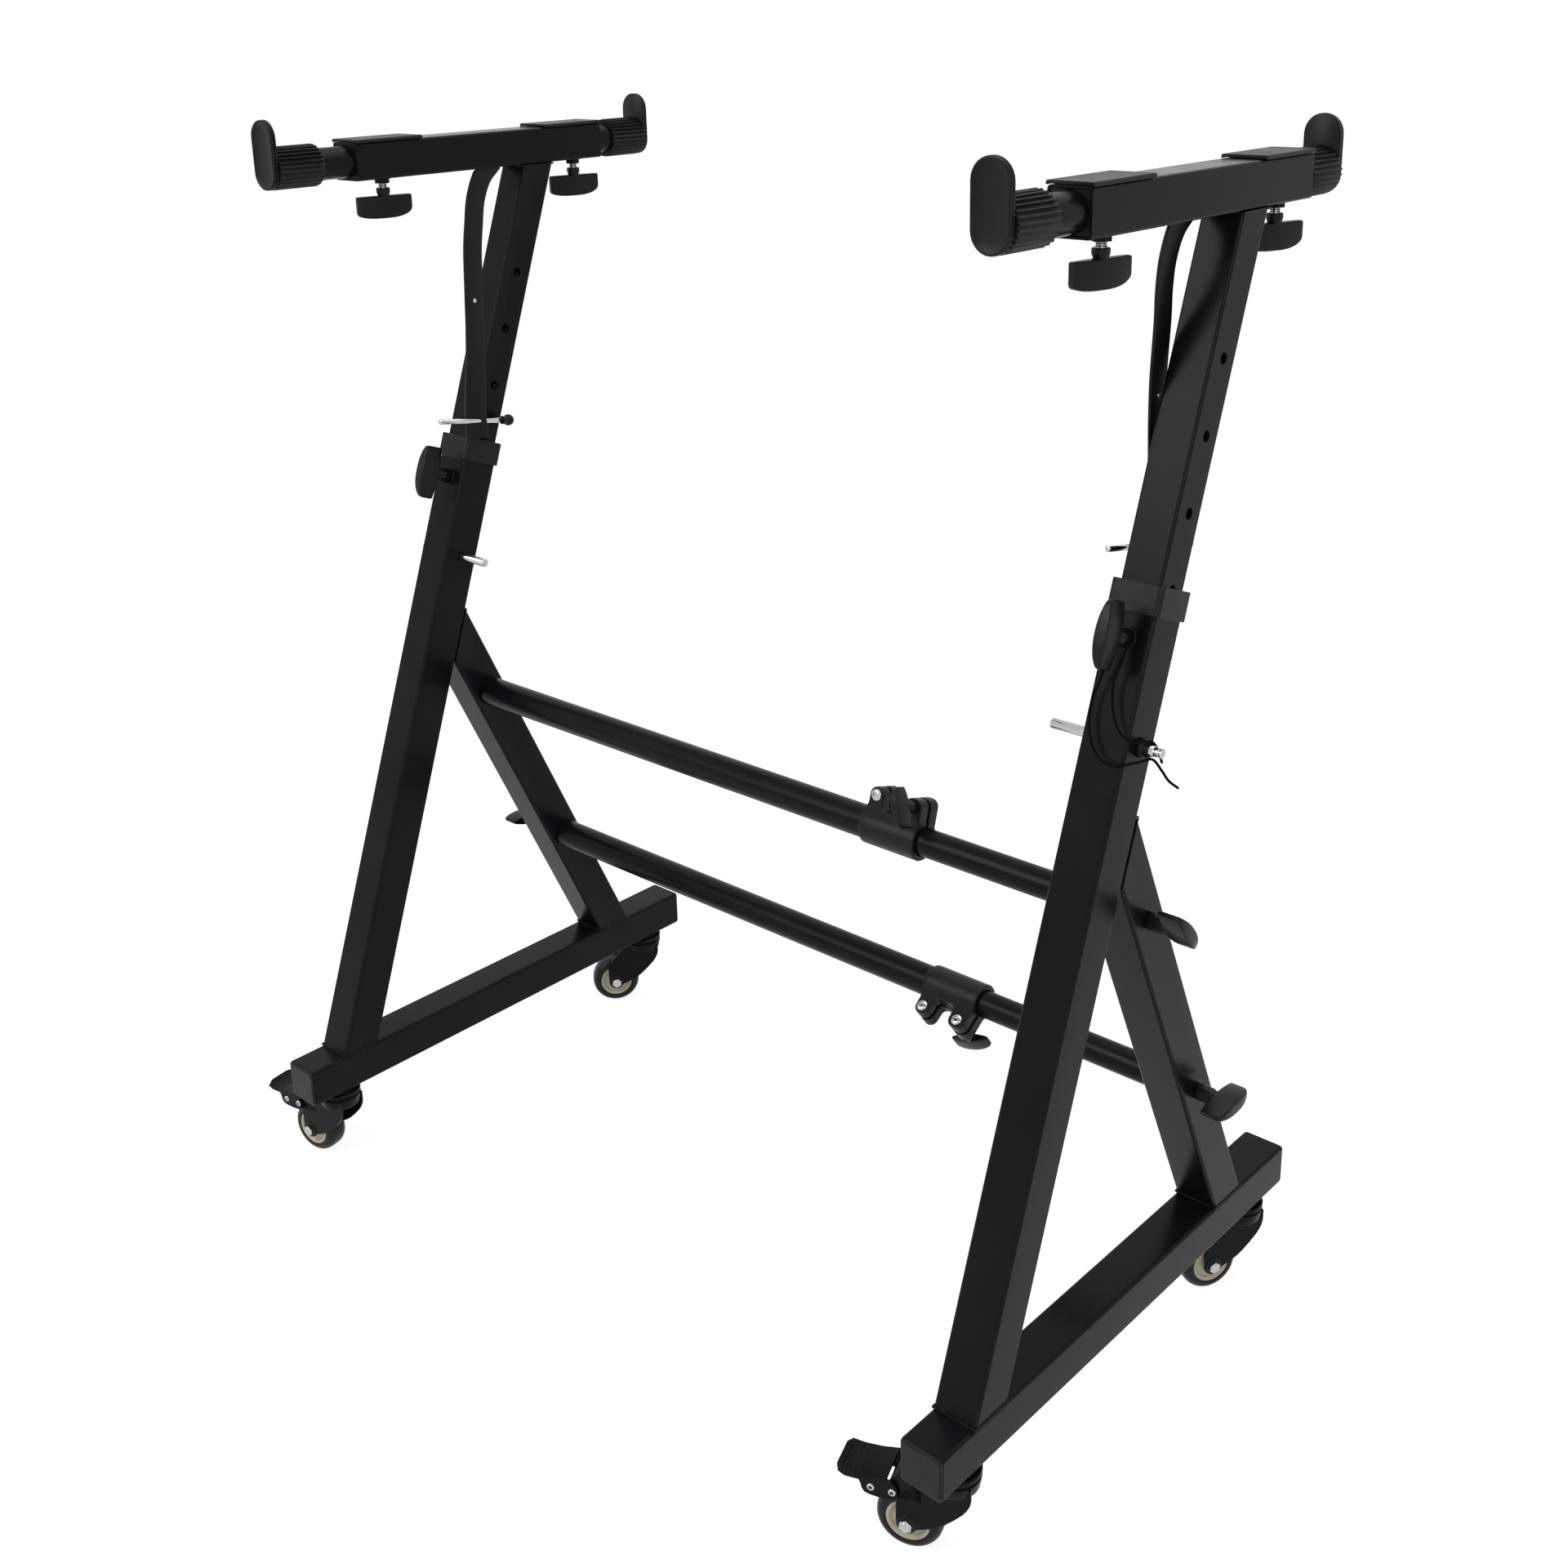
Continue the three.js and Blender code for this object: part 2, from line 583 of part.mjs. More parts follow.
// A split sleeve over the end of the outer bar, with two pairs of ears. Its own frame is the bar's
// axis, with the ears up and the wing of the knob to the front.
function clamp() {
  const outer = barOuterDia / 2 + gap + clampWall;
  const sleeve = rod([clampLowX, 0, 0], [clampHighX, 0, 0], outer, 20);
  const ear = (x, halfWidth) => {
    const shape = new THREE.Shape();
    shape.moveTo(-halfWidth, 0);
    shape.lineTo(halfWidth, 0);
    shape.absarc(halfWidth - earRadius, earScrewRise, earRadius, 0, Math.PI / 2, false);
    shape.absarc(-halfWidth + earRadius, earScrewRise, earRadius, Math.PI / 2, Math.PI, false);
    shape.closePath();
    const geometry = new THREE.ExtrudeGeometry(shape,
      { depth: 2 * earReach, bevelEnabled: false, curveSegments: 4 });
    geometry.rotateX(Math.PI / 2);
    geometry.translate(x, earReach, 0);
    return solid(geometry);
  };
  const crossRod = (x, reach, radius, sides) => rod([x, -reach, earScrewRise], [x, reach, earScrewRise],
    radius, sides);
  const bores = [
    rod([clampLowX - 1, 0, 0], [barJointX + gap, 0, 0], barOuterDia / 2 + gap),
    rod([barJointX, 0, 0], [clampHighX + 1, 0, 0], barInnerDia / 2 + gap),
    block([clampLowX - 1, -clampSlit / 2, 0], [clampHighX + 1, clampSlit / 2, outer + 1]),
    block([clampLowX - 1, -clampSlit, outer - 1], [clampHighX + 1, clampSlit, earScrewRise + earRadius + 1]),
    crossRod(knobEarX, earReach + 1, clampScrewDia / 2 + gap, 8),
  ];
  return join(
    cut(join(sleeve, ear(fixedEarX, earRadius), ear(knobEarX, earRadius + 2)), ...bores),
    crossRod(fixedEarX, earReach + clampHeadThick, clampScrewDia / 2, 8),
    rod([fixedEarX, -earReach - clampHeadThick, earScrewRise], [fixedEarX, -earReach + 1, earScrewRise],
      clampHeadDia / 2, 10),
    rod([fixedEarX, earReach - 1, earScrewRise], [fixedEarX, earReach + clampHeadThick, earScrewRise],
      clampHeadDia / 2, 10));
}

// The wing turns on a bolt whose round head lies against the far ears.
function clampKnob() {
  const through = 2 * earReach + gap;
  return join(
    wingKnob({ ...clampKnobShape, reach: through + 1, screw: clampScrewDia }),
    rod([0, 0, -through - clampHeadThick], [0, 0, -through], clampHeadDia / 2, 12));
}

// ---------------------------------------------------------------- straps and pins
// Centre lines from the arm down: inward of the frame's centre plane, then Y and Z from where the
// mast's axis meets the underside of the arm.
const strapRoutes = {
  left: [[9, -48.5, 7], [10, -64.5, -7], [11.5, -75.5, -27], [13, -81, -49], [15, -86, -71],
    [20, -92.5, -112], [26, -100.5, -170], [33.5, -111.5, -222], [34.5, -112, -247]],
  right: [[9, -44.5, 7], [10, -60.5, -7], [11.5, -68.5, -27], [13.5, -69, -49], [15.5, -66, -71],
    [20, -61.5, -115], [25, -52.5, -167], [31, -44.5, -227], [32, -44, -259]],
};
const strapPins = {
  left: { tip: [39.5, -158.5, -222], head: [30, -70, -237] },
  right: { tip: [37, -93.5, -235], head: [27.5, 0.5, -250] },
};
const strapTwist = 20; // degrees, at the lower end, towards the pin
const twistFrom = 0.6; // share of the strap above the twist
const strapSteps = 20;

function underArm(inward, [x, y, z]) {
  return [inward * x, mastHeadY + y, armBottom + z];
}

function strapPinEnds(side, inward) {
  return [strapPins[side].tip, strapPins[side].head].map((point) => underArm(inward, point));
}

function strap(side, inward) {
  const route = new THREE.CatmullRomCurve3(strapRoutes[side].map((point) =>
    new THREE.Vector3(...underArm(inward, point))));
  const positions = [];
  for (let i = 0; i <= strapSteps; i += 1) {
    const u = i / strapSteps;
    const centre = route.getPointAt(u);
    const tangent = route.getTangentAt(u);
    const twist = toRadians(inward * strapTwist * Math.max(0, (u - twistFrom) / (1 - twistFrom)));
    const across = new THREE.Vector3(1, 0, 0).cross(tangent).normalize().applyAxisAngle(tangent, twist);
    const through = tangent.clone().cross(across).normalize();
    for (const [a, b] of [[-1, -1], [1, -1], [1, 1], [-1, 1]]) {
      positions.push(...centre.clone().addScaledVector(across, a * strapWidth / 2)
        .addScaledVector(through, b * strapThick / 2).toArray());
    }
  }
  const index = [0, 2, 1, 0, 3, 2];
  for (let i = 0; i < strapSteps; i += 1) {
    for (let k = 0; k < 4; k += 1) {
      const a = i * 4 + k;
      const b = i * 4 + ((k + 1) % 4);
      index.push(a, b, a + 4, b, b + 4, a + 4);
    }
  }
  const last = strapSteps * 4;
  index.push(last, last + 1, last + 2, last, last + 2, last + 3);
  const geometry = new THREE.BufferGeometry();
  geometry.setAttribute('position', new THREE.Float32BufferAttribute(positions, 3));
  geometry.setIndex(index);
  const [tip, head] = strapPinEnds(side, inward);
  const aboveArm = block([-armWidth, armFrontY, armBottom - gap], [armWidth, armRearY, armTop]);
  return cut(solid(geometry), aboveArm, rod(tip, head, strapPinDia / 2 + gap, 12));
}

function strapPin(side, inward) {
  const [tip, head] = strapPinEnds(side, inward);
  const ball = new THREE.SphereGeometry(strapBallDia / 2, 10, 7);
  ball.translate(...head);
  return join(rod(tip, head, strapPinDia / 2, 12), solid(ball));
}

// The through-pin locks the mast: its head lies outward of the frame.
function throughPin(inward) {
  const [y, z] = pinAxis;
  const at = (x) => [inward * x, y, z];
  return join(
    rod(at(throughPinInner), at(-throughPinHeadAt - 1), throughPinDia / 2, 16),
    rod(at(-throughPinHeadAt), at(-throughPinHeadAt - pinHeadLength), pinHeadDia / 2, 16));
}

// The lanyard runs from the knot up its left side, round the screw of the height knob, and down
// again to the knot. Points: outward of the centre plane, in from the front face, above the through-pin.
const lanyardPoints = [
  [45, 38, -22.5], [40, 31, -18.5], [36.5, 25, -12.5], [30, 20, -5.9], [27, 10, -8.5], [25, -2, -11],
  [17.5, -6.5, -14.5], [3, -6.5, -12.5], [-9, -6.5, 3.5], [-12.5, -6.5, 24.5], [-9, -7.6, 42.5],
  [-6.6, -8.4, 58.5], [-6.2, -8.4, 74], [0, -8.4, 80.3], [6.2, -8.4, 74], [5.2, -8.4, 58.5],
  [2, -7.6, 43.5], [5, -6.5, 24.5], [14, -6, 9.5], [23, -4, 4.5], [27, 8, 6], [28, 19, 5.9],
  [30, 25.5, 0.5], [33, 29, -7.5],
];

function lanyard() {
  const route = new THREE.CatmullRomCurve3(lanyardPoints.map(([x, d, t]) =>
    new THREE.Vector3(x, ...onUpright(throughPinAt + t, d))));
  const section = new THREE.Shape();
  section.absarc(0, 0, lanyardDia / 2, 0, 2 * Math.PI, false);
  return solid(new THREE.ExtrudeGeometry(section,
    { steps: 64, bevelEnabled: false, extrudePath: route, curveSegments: 4 }));
}

// ---------------------------------------------------------------- assembly
for (const [side, outward] of [['left', -1], ['right', 1]]) {
  const inward = -outward;
  const frame = new THREE.Group();
  frame.position.x = outward * frameX;
  stand.add(frame);
  const add = (name, body, material) => piece(`${side}_${name}`, body, material, frame);

  add('base_beam', baseBeam(), powderCoat());
  add('outer_upright', outerUpright(), powderCoat());
  add('brace', brace(), powderCoat());
  add('height_collar', heightCollar(), blackPlastic());
  add('inner_upright', innerUpright(), powderCoat());
  add('arm_tube', armTube(), powderCoat());
  add('height_pin', throughPin(inward), zincSteel());
  add('strap', strap(side, inward), blackRubber());
  add('strap_pin', strapPin(side, inward), zincSteel());

  for (const end of ['front', 'rear']) {
    add(`${end}_pad`, pad(end), blackRubber());
    add(`${end}_extension`, extension(end, side), powderCoat());
    add(`${end}_end_support`, endSupport(end, side), blackRubber());

    const turn = toRadians(knobTurn[`${side}_${end}_arm`]);
    const reach = armHeight / 2 - extensionDia / 2 - gap;
    const knob = add(`${end}_arm_knob`, wingKnob({ ...armKnobShape, reach }), blackPlastic());
    mountKnob(knob, [0, armScrewY[end], armBottom], [0, 0, -1], [Math.cos(turn), Math.sin(turn), 0]);

    const casterY = (end === 'front' ? -1 : 1) * (beamLength / 2 - casterInset);
    const caster = new THREE.Group();
    caster.position.set(0, casterY, 0);
    caster.rotation.z = toRadians(casterTurn[`${side}_${end}`]);
    frame.add(caster);
    piece(`${side}_${end}_caster_fork`, fork(end === 'front'), powderCoat(), caster);
    const tyre = piece(`${side}_${end}_wheel`, wheel(), blackRubber(), caster);
    tyre.position.set(casterTrail, 0, wheelRadius);
    if (end === 'front') piece(`${side}_brake_pedal`, brakePedal(), powderCoat(), caster);
  }

  const heightKnob = add('height_knob', wingKnob({ ...faceKnobShape, reach: innerNear - gap }), blackPlastic());
  mountKnob(heightKnob, [0, ...onUpright(heightKnobAt, 0)], [0, -leanCos, leanSin], [0, leanSin, leanCos]);

  for (const [level, [y, z]] of Object.entries(barAxes)) {
    const turn = toRadians(knobTurn[`${side}_${level}_bar`]);
    const reach = tubeWidth + gap + barPlug - 1;
    const knob = add(`${level}_bar_knob`, wingKnob({ ...faceKnobShape, reach }), blackPlastic());
    mountKnob(knob, [outward * outerHalf, y, z], [outward, 0, 0], [0, Math.cos(turn), Math.sin(turn)]);
  }
  if (side === 'right') add('lanyard', lanyard(), blackCord());
}

for (const [level, axis] of Object.entries(barAxes)) {
  piece(`${level}_bar_outer_tube`, barOuter(axis), powderCoat());
  piece(`${level}_bar_inner_tube`, barInner(axis), powderCoat());
  const turned = new THREE.Group();
  turned.position.set(0, ...axis);
  turned.rotation.x = toRadians(clampTurn[level]);
  stand.add(turned);
  piece(`${level}_clamp`, clamp(), blackPlastic(), turned);
  const knob = piece(`${level}_clamp_knob`, clampKnob(), blackPlastic(), turned);
  const wingTurn = toRadians(clampWingTurn[level]);
  mountKnob(knob, [knobEarX, -earReach, earScrewRise], [0, -1, 0], [Math.sin(wingTurn), 0, Math.cos(wingTurn)]);
}

// The origin goes under the middle of the bounding box.
const box = new THREE.Box3().setFromObject(stand);
stand.position.set(-(box.min.x + box.max.x) / 2, -(box.min.y + box.max.y) / 2, 0);

export default stand;
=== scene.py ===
import json
from math import cos, pi, radians, sin, sqrt

import bmesh
import bpy
from mathutils import Matrix, Vector


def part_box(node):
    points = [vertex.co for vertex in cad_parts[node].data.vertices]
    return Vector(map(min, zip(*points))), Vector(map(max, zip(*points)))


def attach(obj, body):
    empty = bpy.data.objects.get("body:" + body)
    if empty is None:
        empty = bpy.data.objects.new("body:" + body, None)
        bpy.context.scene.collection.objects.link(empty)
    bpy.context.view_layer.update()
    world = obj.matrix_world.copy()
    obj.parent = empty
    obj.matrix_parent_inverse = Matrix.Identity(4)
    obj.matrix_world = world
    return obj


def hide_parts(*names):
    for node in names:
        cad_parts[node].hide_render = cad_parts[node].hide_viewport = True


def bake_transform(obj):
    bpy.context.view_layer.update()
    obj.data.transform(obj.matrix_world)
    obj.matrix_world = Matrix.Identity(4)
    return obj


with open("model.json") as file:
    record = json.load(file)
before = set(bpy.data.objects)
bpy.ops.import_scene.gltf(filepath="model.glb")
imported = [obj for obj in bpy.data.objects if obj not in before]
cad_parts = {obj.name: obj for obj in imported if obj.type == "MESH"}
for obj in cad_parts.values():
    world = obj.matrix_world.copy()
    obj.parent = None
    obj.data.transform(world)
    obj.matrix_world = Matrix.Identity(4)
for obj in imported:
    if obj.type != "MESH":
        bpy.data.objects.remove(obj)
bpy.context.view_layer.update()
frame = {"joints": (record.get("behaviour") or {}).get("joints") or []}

# Lengths are in millimetres until MM turns them into metres. Each side frame is built about its own
# centre plane: x across the stand, y from the middle of the base beam, z from the floor.
MM = 0.001
GAP = 0.3

TUBE = 38.0
TUBE_ROUND = 3.0
TUBE_WALL = 2.0
BORE_ROUND = 1.2
BEAM_CAP = 3.0
UPRIGHT_LEAN = radians(19.8)
UPRIGHT_FOOT_Y = -208.5
UPRIGHT_LENGTH = 614.0
BRACE_LEAN = radians(24.6)
BRACE_FOOT_Y = 128.5
MAST = 33.3
MAST_ROUND = 2.5
MAST_NEAR = 2.35  # the upright's front face to the mast's
MAST_LOW_END = 418.0
ARM_WIDTH = 34.0
ARM_HEIGHT = 33.0
ARM_WALL = 2.0
PIN_HOLES = [616.5, 672.0, 727.5, 783.0]
PIN_HOLE_RADIUS = 4.3
SCREW_HOLE_RADIUS = 4.4
THROUGH_PIN_AT = 503.5
HEIGHT_TRAVEL = 95.0
HEIGHT_KNOB_AT = 577.5
COLLAR_RISE = 4.0
COLLAR_HEIGHT = 22.0
COLLAR_WALL = 2.2
COLLAR_LIP = 1.6
EXTENSION = (14.0, 12.0)  # radius outside and inside
BAR_AT = {"upper": 345.5, "lower": 139.4}
BAR_JOINT_X = 158.0
WELD_RADIUS = 1.1
WELD_STEP = 0.65
WELD_RISE = 0.8
SCREW_PITCH = 1.25
GRIP_RIBS = 28
STOP_WIDTH = 30.0
STOP_THICK = 5.5
STOP_BELOW = 18.2
STOP_ABOVE = 41.0
GRIP_RADIUS = 18.3
GRIP_RIB_DEPTH = 1.9
GRIP_LENGTH = {"front": 45.0, "rear": 43.0}

SIDES = {"left": -1, "right": 1}
ENDS = {"front": -1, "rear": 1}

# ---------------- places read from the frame


def box_mm(node):
    low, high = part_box(node)
    return low / MM, high / MM


def middle(node):
    low, high = box_mm(node)
    return (low + high) / 2


def joint_at(name):
    """Where a joint's axis starts, in millimetres."""
    return Vector(joint_of[name]["pos_m"]) / MM


joint_of = {joint["name"]: joint for joint in frame["joints"]}
frame_x = {side: middle(side + "_base_beam").x for side in SIDES}
mid_x = (frame_x["left"] + frame_x["right"]) / 2
mid_y = middle("left_base_beam").y
beam_low, beam_high = box_mm("left_base_beam")
arm_low, arm_high = box_mm("left_arm_tube")
BEAM_FOOT_Z = beam_low.z
BEAM_TOP_Z = beam_high.z
BEAM_HALF = (beam_high.y - beam_low.y) / 2
ARM_TOP_Z = arm_high.z
ARM_BOTTOM_Z = ARM_TOP_Z - ARM_HEIGHT
ARM_AXIS_Z = ARM_TOP_Z - ARM_HEIGHT / 2
ARM_FRONT_Y = arm_low.y - mid_y
ARM_REAR_Y = arm_high.y - mid_y
SIDE_PLACE = {side: Matrix.Translation((frame_x[side], mid_y, 0)) for side in SIDES}
MIDDLE_PLACE = Matrix.Translation((mid_x, mid_y, 0))


def on_upright(t, d):
    """Y and Z at t up the upright's front face and d in from it."""
    return (UPRIGHT_FOOT_Y + t * sin(UPRIGHT_LEAN) + d * cos(UPRIGHT_LEAN),
            BEAM_TOP_Z + t * cos(UPRIGHT_LEAN) - d * sin(UPRIGHT_LEAN))


def on_brace(t, d):
    return (BRACE_FOOT_Y - t * sin(BRACE_LEAN) + d * cos(BRACE_LEAN),
            BEAM_TOP_Z + t * cos(BRACE_LEAN) + d * sin(BRACE_LEAN))


def upright_t(z, d):
    return (z - BEAM_TOP_Z + d * sin(UPRIGHT_LEAN)) / cos(UPRIGHT_LEAN)


def brace_t(z, d):
    return (z - BEAM_TOP_Z - d * sin(BRACE_LEAN)) / cos(BRACE_LEAN)


def brace_top(d):
    lean = UPRIGHT_LEAN + BRACE_LEAN
    step = (BRACE_FOOT_Y - UPRIGHT_FOOT_Y) * cos(UPRIGHT_LEAN)
    return (step + d * cos(lean) - TUBE - GAP) / sin(lean)


BAR_AXIS = {level: on_brace(t, TUBE / 2) for level, t in BAR_AT.items()}
MAST_HEAD_Y = on_upright(upright_t(ARM_BOTTOM_Z, TUBE / 2), TUBE / 2)[0]


def new_object(name, data):
    obj = bpy.data.objects.new(name, data)
    bpy.context.scene.collection.objects.link(obj)
    return obj


# ---------------- camera
CAMERA_AT = (1043.8, -1081.5, 1015.75)  # from between the frames, above the foot of the beams
CAMERA_YAW = radians(42.32)
CAMERA_PITCH = radians(18.03)
CAMERA_ROLL = radians(-1.26)
CAMERA_LENS = 42.70
CAMERA_SHIFT = (-0.0090, -0.1172)


def make_camera():
    data = bpy.data.cameras.new("camera")
    data.sensor_width = 36
    data.lens = CAMERA_LENS
    data.shift_x, data.shift_y = CAMERA_SHIFT
    data.clip_start = 0.05
    data.clip_end = 60
    camera = new_object("camera", data)
    look = Vector((-sin(CAMERA_YAW) * cos(CAMERA_PITCH),
                   cos(CAMERA_YAW) * cos(CAMERA_PITCH), -sin(CAMERA_PITCH)))
    right = Vector((cos(CAMERA_YAW), sin(CAMERA_YAW), 0))
    up = right.cross(look)
    turned_right = right * cos(CAMERA_ROLL) + up * sin(CAMERA_ROLL)
    turned_up = up * cos(CAMERA_ROLL) - right * sin(CAMERA_ROLL)
    place = Matrix((turned_right, turned_up, -look)).transposed().to_4x4()
    place.translation = (Vector(CAMERA_AT) + Vector((mid_x, mid_y, BEAM_FOOT_Z))) * MM
    camera.matrix_world = place
    bpy.context.scene.camera = camera


# ---------------- materials


def node_of(tree, kind, **inputs):
    node = tree.nodes.new("ShaderNode" + kind)
    for name, value in inputs.items():
        node.inputs[name.replace("_", " ")].default_value = value
    return node


def mapped(tree, value, span, to):
    """A node's output, mapped from one span of numbers onto another."""
    node = node_of(tree, "MapRange")
    for name, number in zip(("From Min", "From Max", "To Min", "To Max"), (*span, *to)):
        node.inputs[name].default_value = number
    tree.links.new(value, node.inputs["Value"])
    return node.outputs["Result"]


def surface(name, color, roughness, grain, grain_height, tone=0.25, patch=14.0, sheen_spread=0.08,
            stretch=(1, 1, 1), specular=0.5, metallic=0.0, edge_highlight=0.0):
    """A coat with fine grain, slow changes of tone and gloss, and a painted highlight that lightens its
    edges.
    """
    material = bpy.data.materials.new(name)
    material.use_nodes = True
    tree = material.node_tree
    shader = tree.nodes["Principled BSDF"]
    shader.inputs["Metallic"].default_value = metallic
    shader.inputs["Specular IOR Level"].default_value = specular
    link = tree.links.new

    place = node_of(tree, "TexCoord")
    mapping = node_of(tree, "Mapping", Scale=stretch)
    link(place.outputs["Object"], mapping.inputs["Vector"])
    fine = node_of(tree, "TexNoise", Scale=grain, Detail=3.0, Roughness=0.6)
    slow = node_of(tree, "TexNoise", Scale=patch, Detail=5.0, Roughness=0.62)
    link(mapping.outputs["Vector"], fine.inputs["Vector"])
    link(place.outputs["Object"], slow.inputs["Vector"])

    bump = node_of(tree, "Bump", Strength=1.0, Distance=grain_height)
    link(fine.outputs["Fac"], bump.inputs["Height"])
    link(bump.outputs["Normal"], shader.inputs["Normal"])
    gloss = (roughness - sheen_spread, roughness + sheen_spread)
    link(mapped(tree, slow.outputs["Fac"], (0.3, 0.7), gloss), shader.inputs["Roughness"])

    ramp = node_of(tree, "ValToRGB")
    for element, position, change in zip(ramp.color_ramp.elements, (0.32, 0.68), (-tone, tone)):
        element.position = position
        element.color = (*(channel * (1 + change) for channel in color), 1)
    link(slow.outputs["Fac"], ramp.inputs["Fac"])
    coat = ramp.outputs["Color"]
    # Painted highlight: the sharp edges are lightened by pointiness, in place of the sheen of light along
    # them.
    if edge_highlight:
        shape = node_of(tree, "NewGeometry")
        mix = node_of(tree, "Mix")
        mix.data_type = "RGBA"
        mix.inputs["B"].default_value = EDGE_HIGHLIGHT_COLOR
        link(mapped(tree, shape.outputs["Pointiness"], (0.54, 0.66), (0, edge_highlight)), mix.inputs["Factor"])
        link(coat, mix.inputs["A"])
        coat = mix.outputs["Result"]
    link(coat, shader.inputs["Base Color"])
    return material


EDGE_HIGHLIGHT_COLOR = (0.10, 0.10, 0.11, 1)  # painted highlight: the lighter colour that the edges of the coat are mixed towards
# The powder coat gets a faint painted highlight along its edges.
POWDER = surface("powder_coat", (0.0044, 0.0043, 0.0050), 0.25, grain=1900, grain_height=8e-6,
                 sheen_spread=0.04, specular=0.08, edge_highlight=0.06)
PLASTIC = surface("black_plastic", (0.0055, 0.0055, 0.0062), 0.36, grain=2600, grain_height=15e-6,
                  patch=30, specular=0.15)
RUBBER = surface("black_rubber", (0.0050, 0.0050, 0.0056), 0.42, grain=1800, grain_height=20e-6,
                 specular=0.15, patch=40)
BELT = surface("strap_rubber", (0.0045, 0.0045, 0.0050), 0.36, grain=1100, grain_height=20e-6,
               stretch=(1, 1, 0.2), patch=26, specular=0.16)
TREAD = surface("tyre_rubber", (0.0050, 0.0049, 0.0049), 0.36, grain=1200, grain_height=20e-6,
                specular=0.18, patch=60)
CREAM = surface("cream_hub", (0.40, 0.36, 0.25), 0.42, grain=1500, grain_height=20e-6, tone=0.12,
                patch=90)
STEEL = surface("zinc_steel", (0.46, 0.46, 0.47), 0.13, metallic=1.0, grain=2200,
                grain_height=2e-6, tone=0.06, patch=160, stretch=(0.15, 1, 1))
CORD = surface("black_cord", (0.0022, 0.0022, 0.0025), 0.85, grain=2600, grain_height=80e-6,
               specular=0.06, patch=200)

# ---------------- mesh helpers


def arc(x, y, radius, start, sweep, steps):
    """Points on an arc about x, y, from the angle start on, in degrees."""
    turns = [radians(start + sweep * i / steps) for i in range(steps + 1)]
    return [(x + radius * cos(a), y + radius * sin(a)) for a in turns]


def rounded_rect(width, height, radius, steps=4):
    points = []
    for sx, sy, start in ((1, 1, 0), (-1, 1, 90), (-1, -1, 180), (1, -1, 270)):
        points += arc(sx * (width / 2 - radius), sy * (height / 2 - radius), radius, start, 90, steps)
    return points


def circle(radius, sides, turn=0.0):
    turns = [2 * pi * i / sides + turn for i in range(sides)]
    return [(radius * cos(a), radius * sin(a)) for a in turns]


def loft(rings, wrap=False):
    """Joins rings of points, with a cap at each end, or the last ring to the first."""
    count = len(rings[0])
    verts = [tuple(point) for ring in rings for point in ring]
    faces = []
    spans = len(rings) if wrap else len(rings) - 1
    for r in range(spans):
        here = r * count
        there = ((r + 1) % len(rings)) * count
        for i in range(count):
            j = (i + 1) % count
            faces.append((here + i, here + j, there + j, there + i))
    if not wrap:
        faces.append(tuple(reversed(range(count))))
        faces.append(tuple(range((len(rings) - 1) * count, len(rings) * count)))
    return verts, faces


def prism(outline, low, high):
    """An outline in x and y, from z = low to z = high."""
    return loft([[(x, y, z) for x, y in outline] for z in (low, high)])


def lathe(profile, sides=48, wrap=False):
    """Radius and height pairs turned about z."""
    return loft([[(x, y, z) for x, y in circle(r, sides)] for r, z in profile], wrap)


def mirrored(profile):
    """A lathe profile from its half on the positive side, given from the inner rim out."""
    return [(r, -z) for r, z in profile] + profile[::-1]


def moved(shape, matrix):
    verts, faces = shape
    return [tuple(matrix @ Vector(v)) for v in verts], faces


def basis(x, z, origin=(0, 0, 0)):
    """A frame with its z along z, and its x as near to x as it can be."""
    z = Vector(z).normalized()
    x = Vector(x)
    x = (x - z * x.dot(z)).normalized()
    matrix = Matrix((x, z.cross(x), z)).transposed().to_4x4()
    matrix.translation = origin
    return matrix


SIDE_ON = basis((1, 0, 0), (0, -1, 0))  # stands an outline in x and y up, in x and z


def along(start, end):
    """A frame at start with its z towards end, and how far it is."""
    way = Vector(end) - Vector(start)
    side = (1, 0, 0) if abs(way.normalized().x) < 0.9 else (0, 1, 0)
    return basis(side, way, start), way.length


def rod(start, end, radius, sides=32, rim=0.0):
    """A round bar, with its rims eased by rim."""
    place, length = along(start, end)
    profile = [(radius, 0), (radius, length)]
    if rim:
        profile = [(radius - rim, 0), (radius, rim), (radius, length - rim), (radius - rim, length)]
    return moved(lathe(profile, sides), place)


def screw_rod(start, end, radius):
    """A threaded rod, as closely set ridges."""
    place, length = along(start, end)
    turns = max(2, int(length / SCREW_PITCH))
    step = length / turns
    root = radius * 0.84
    profile = [(radius * 0.86, 0)]
    for i in range(turns):
        profile += [(radius, (i + 0.45) * step), (root, (i + 0.95) * step)]
    profile.append((root, length))
    return moved(lathe(profile, 24), place)


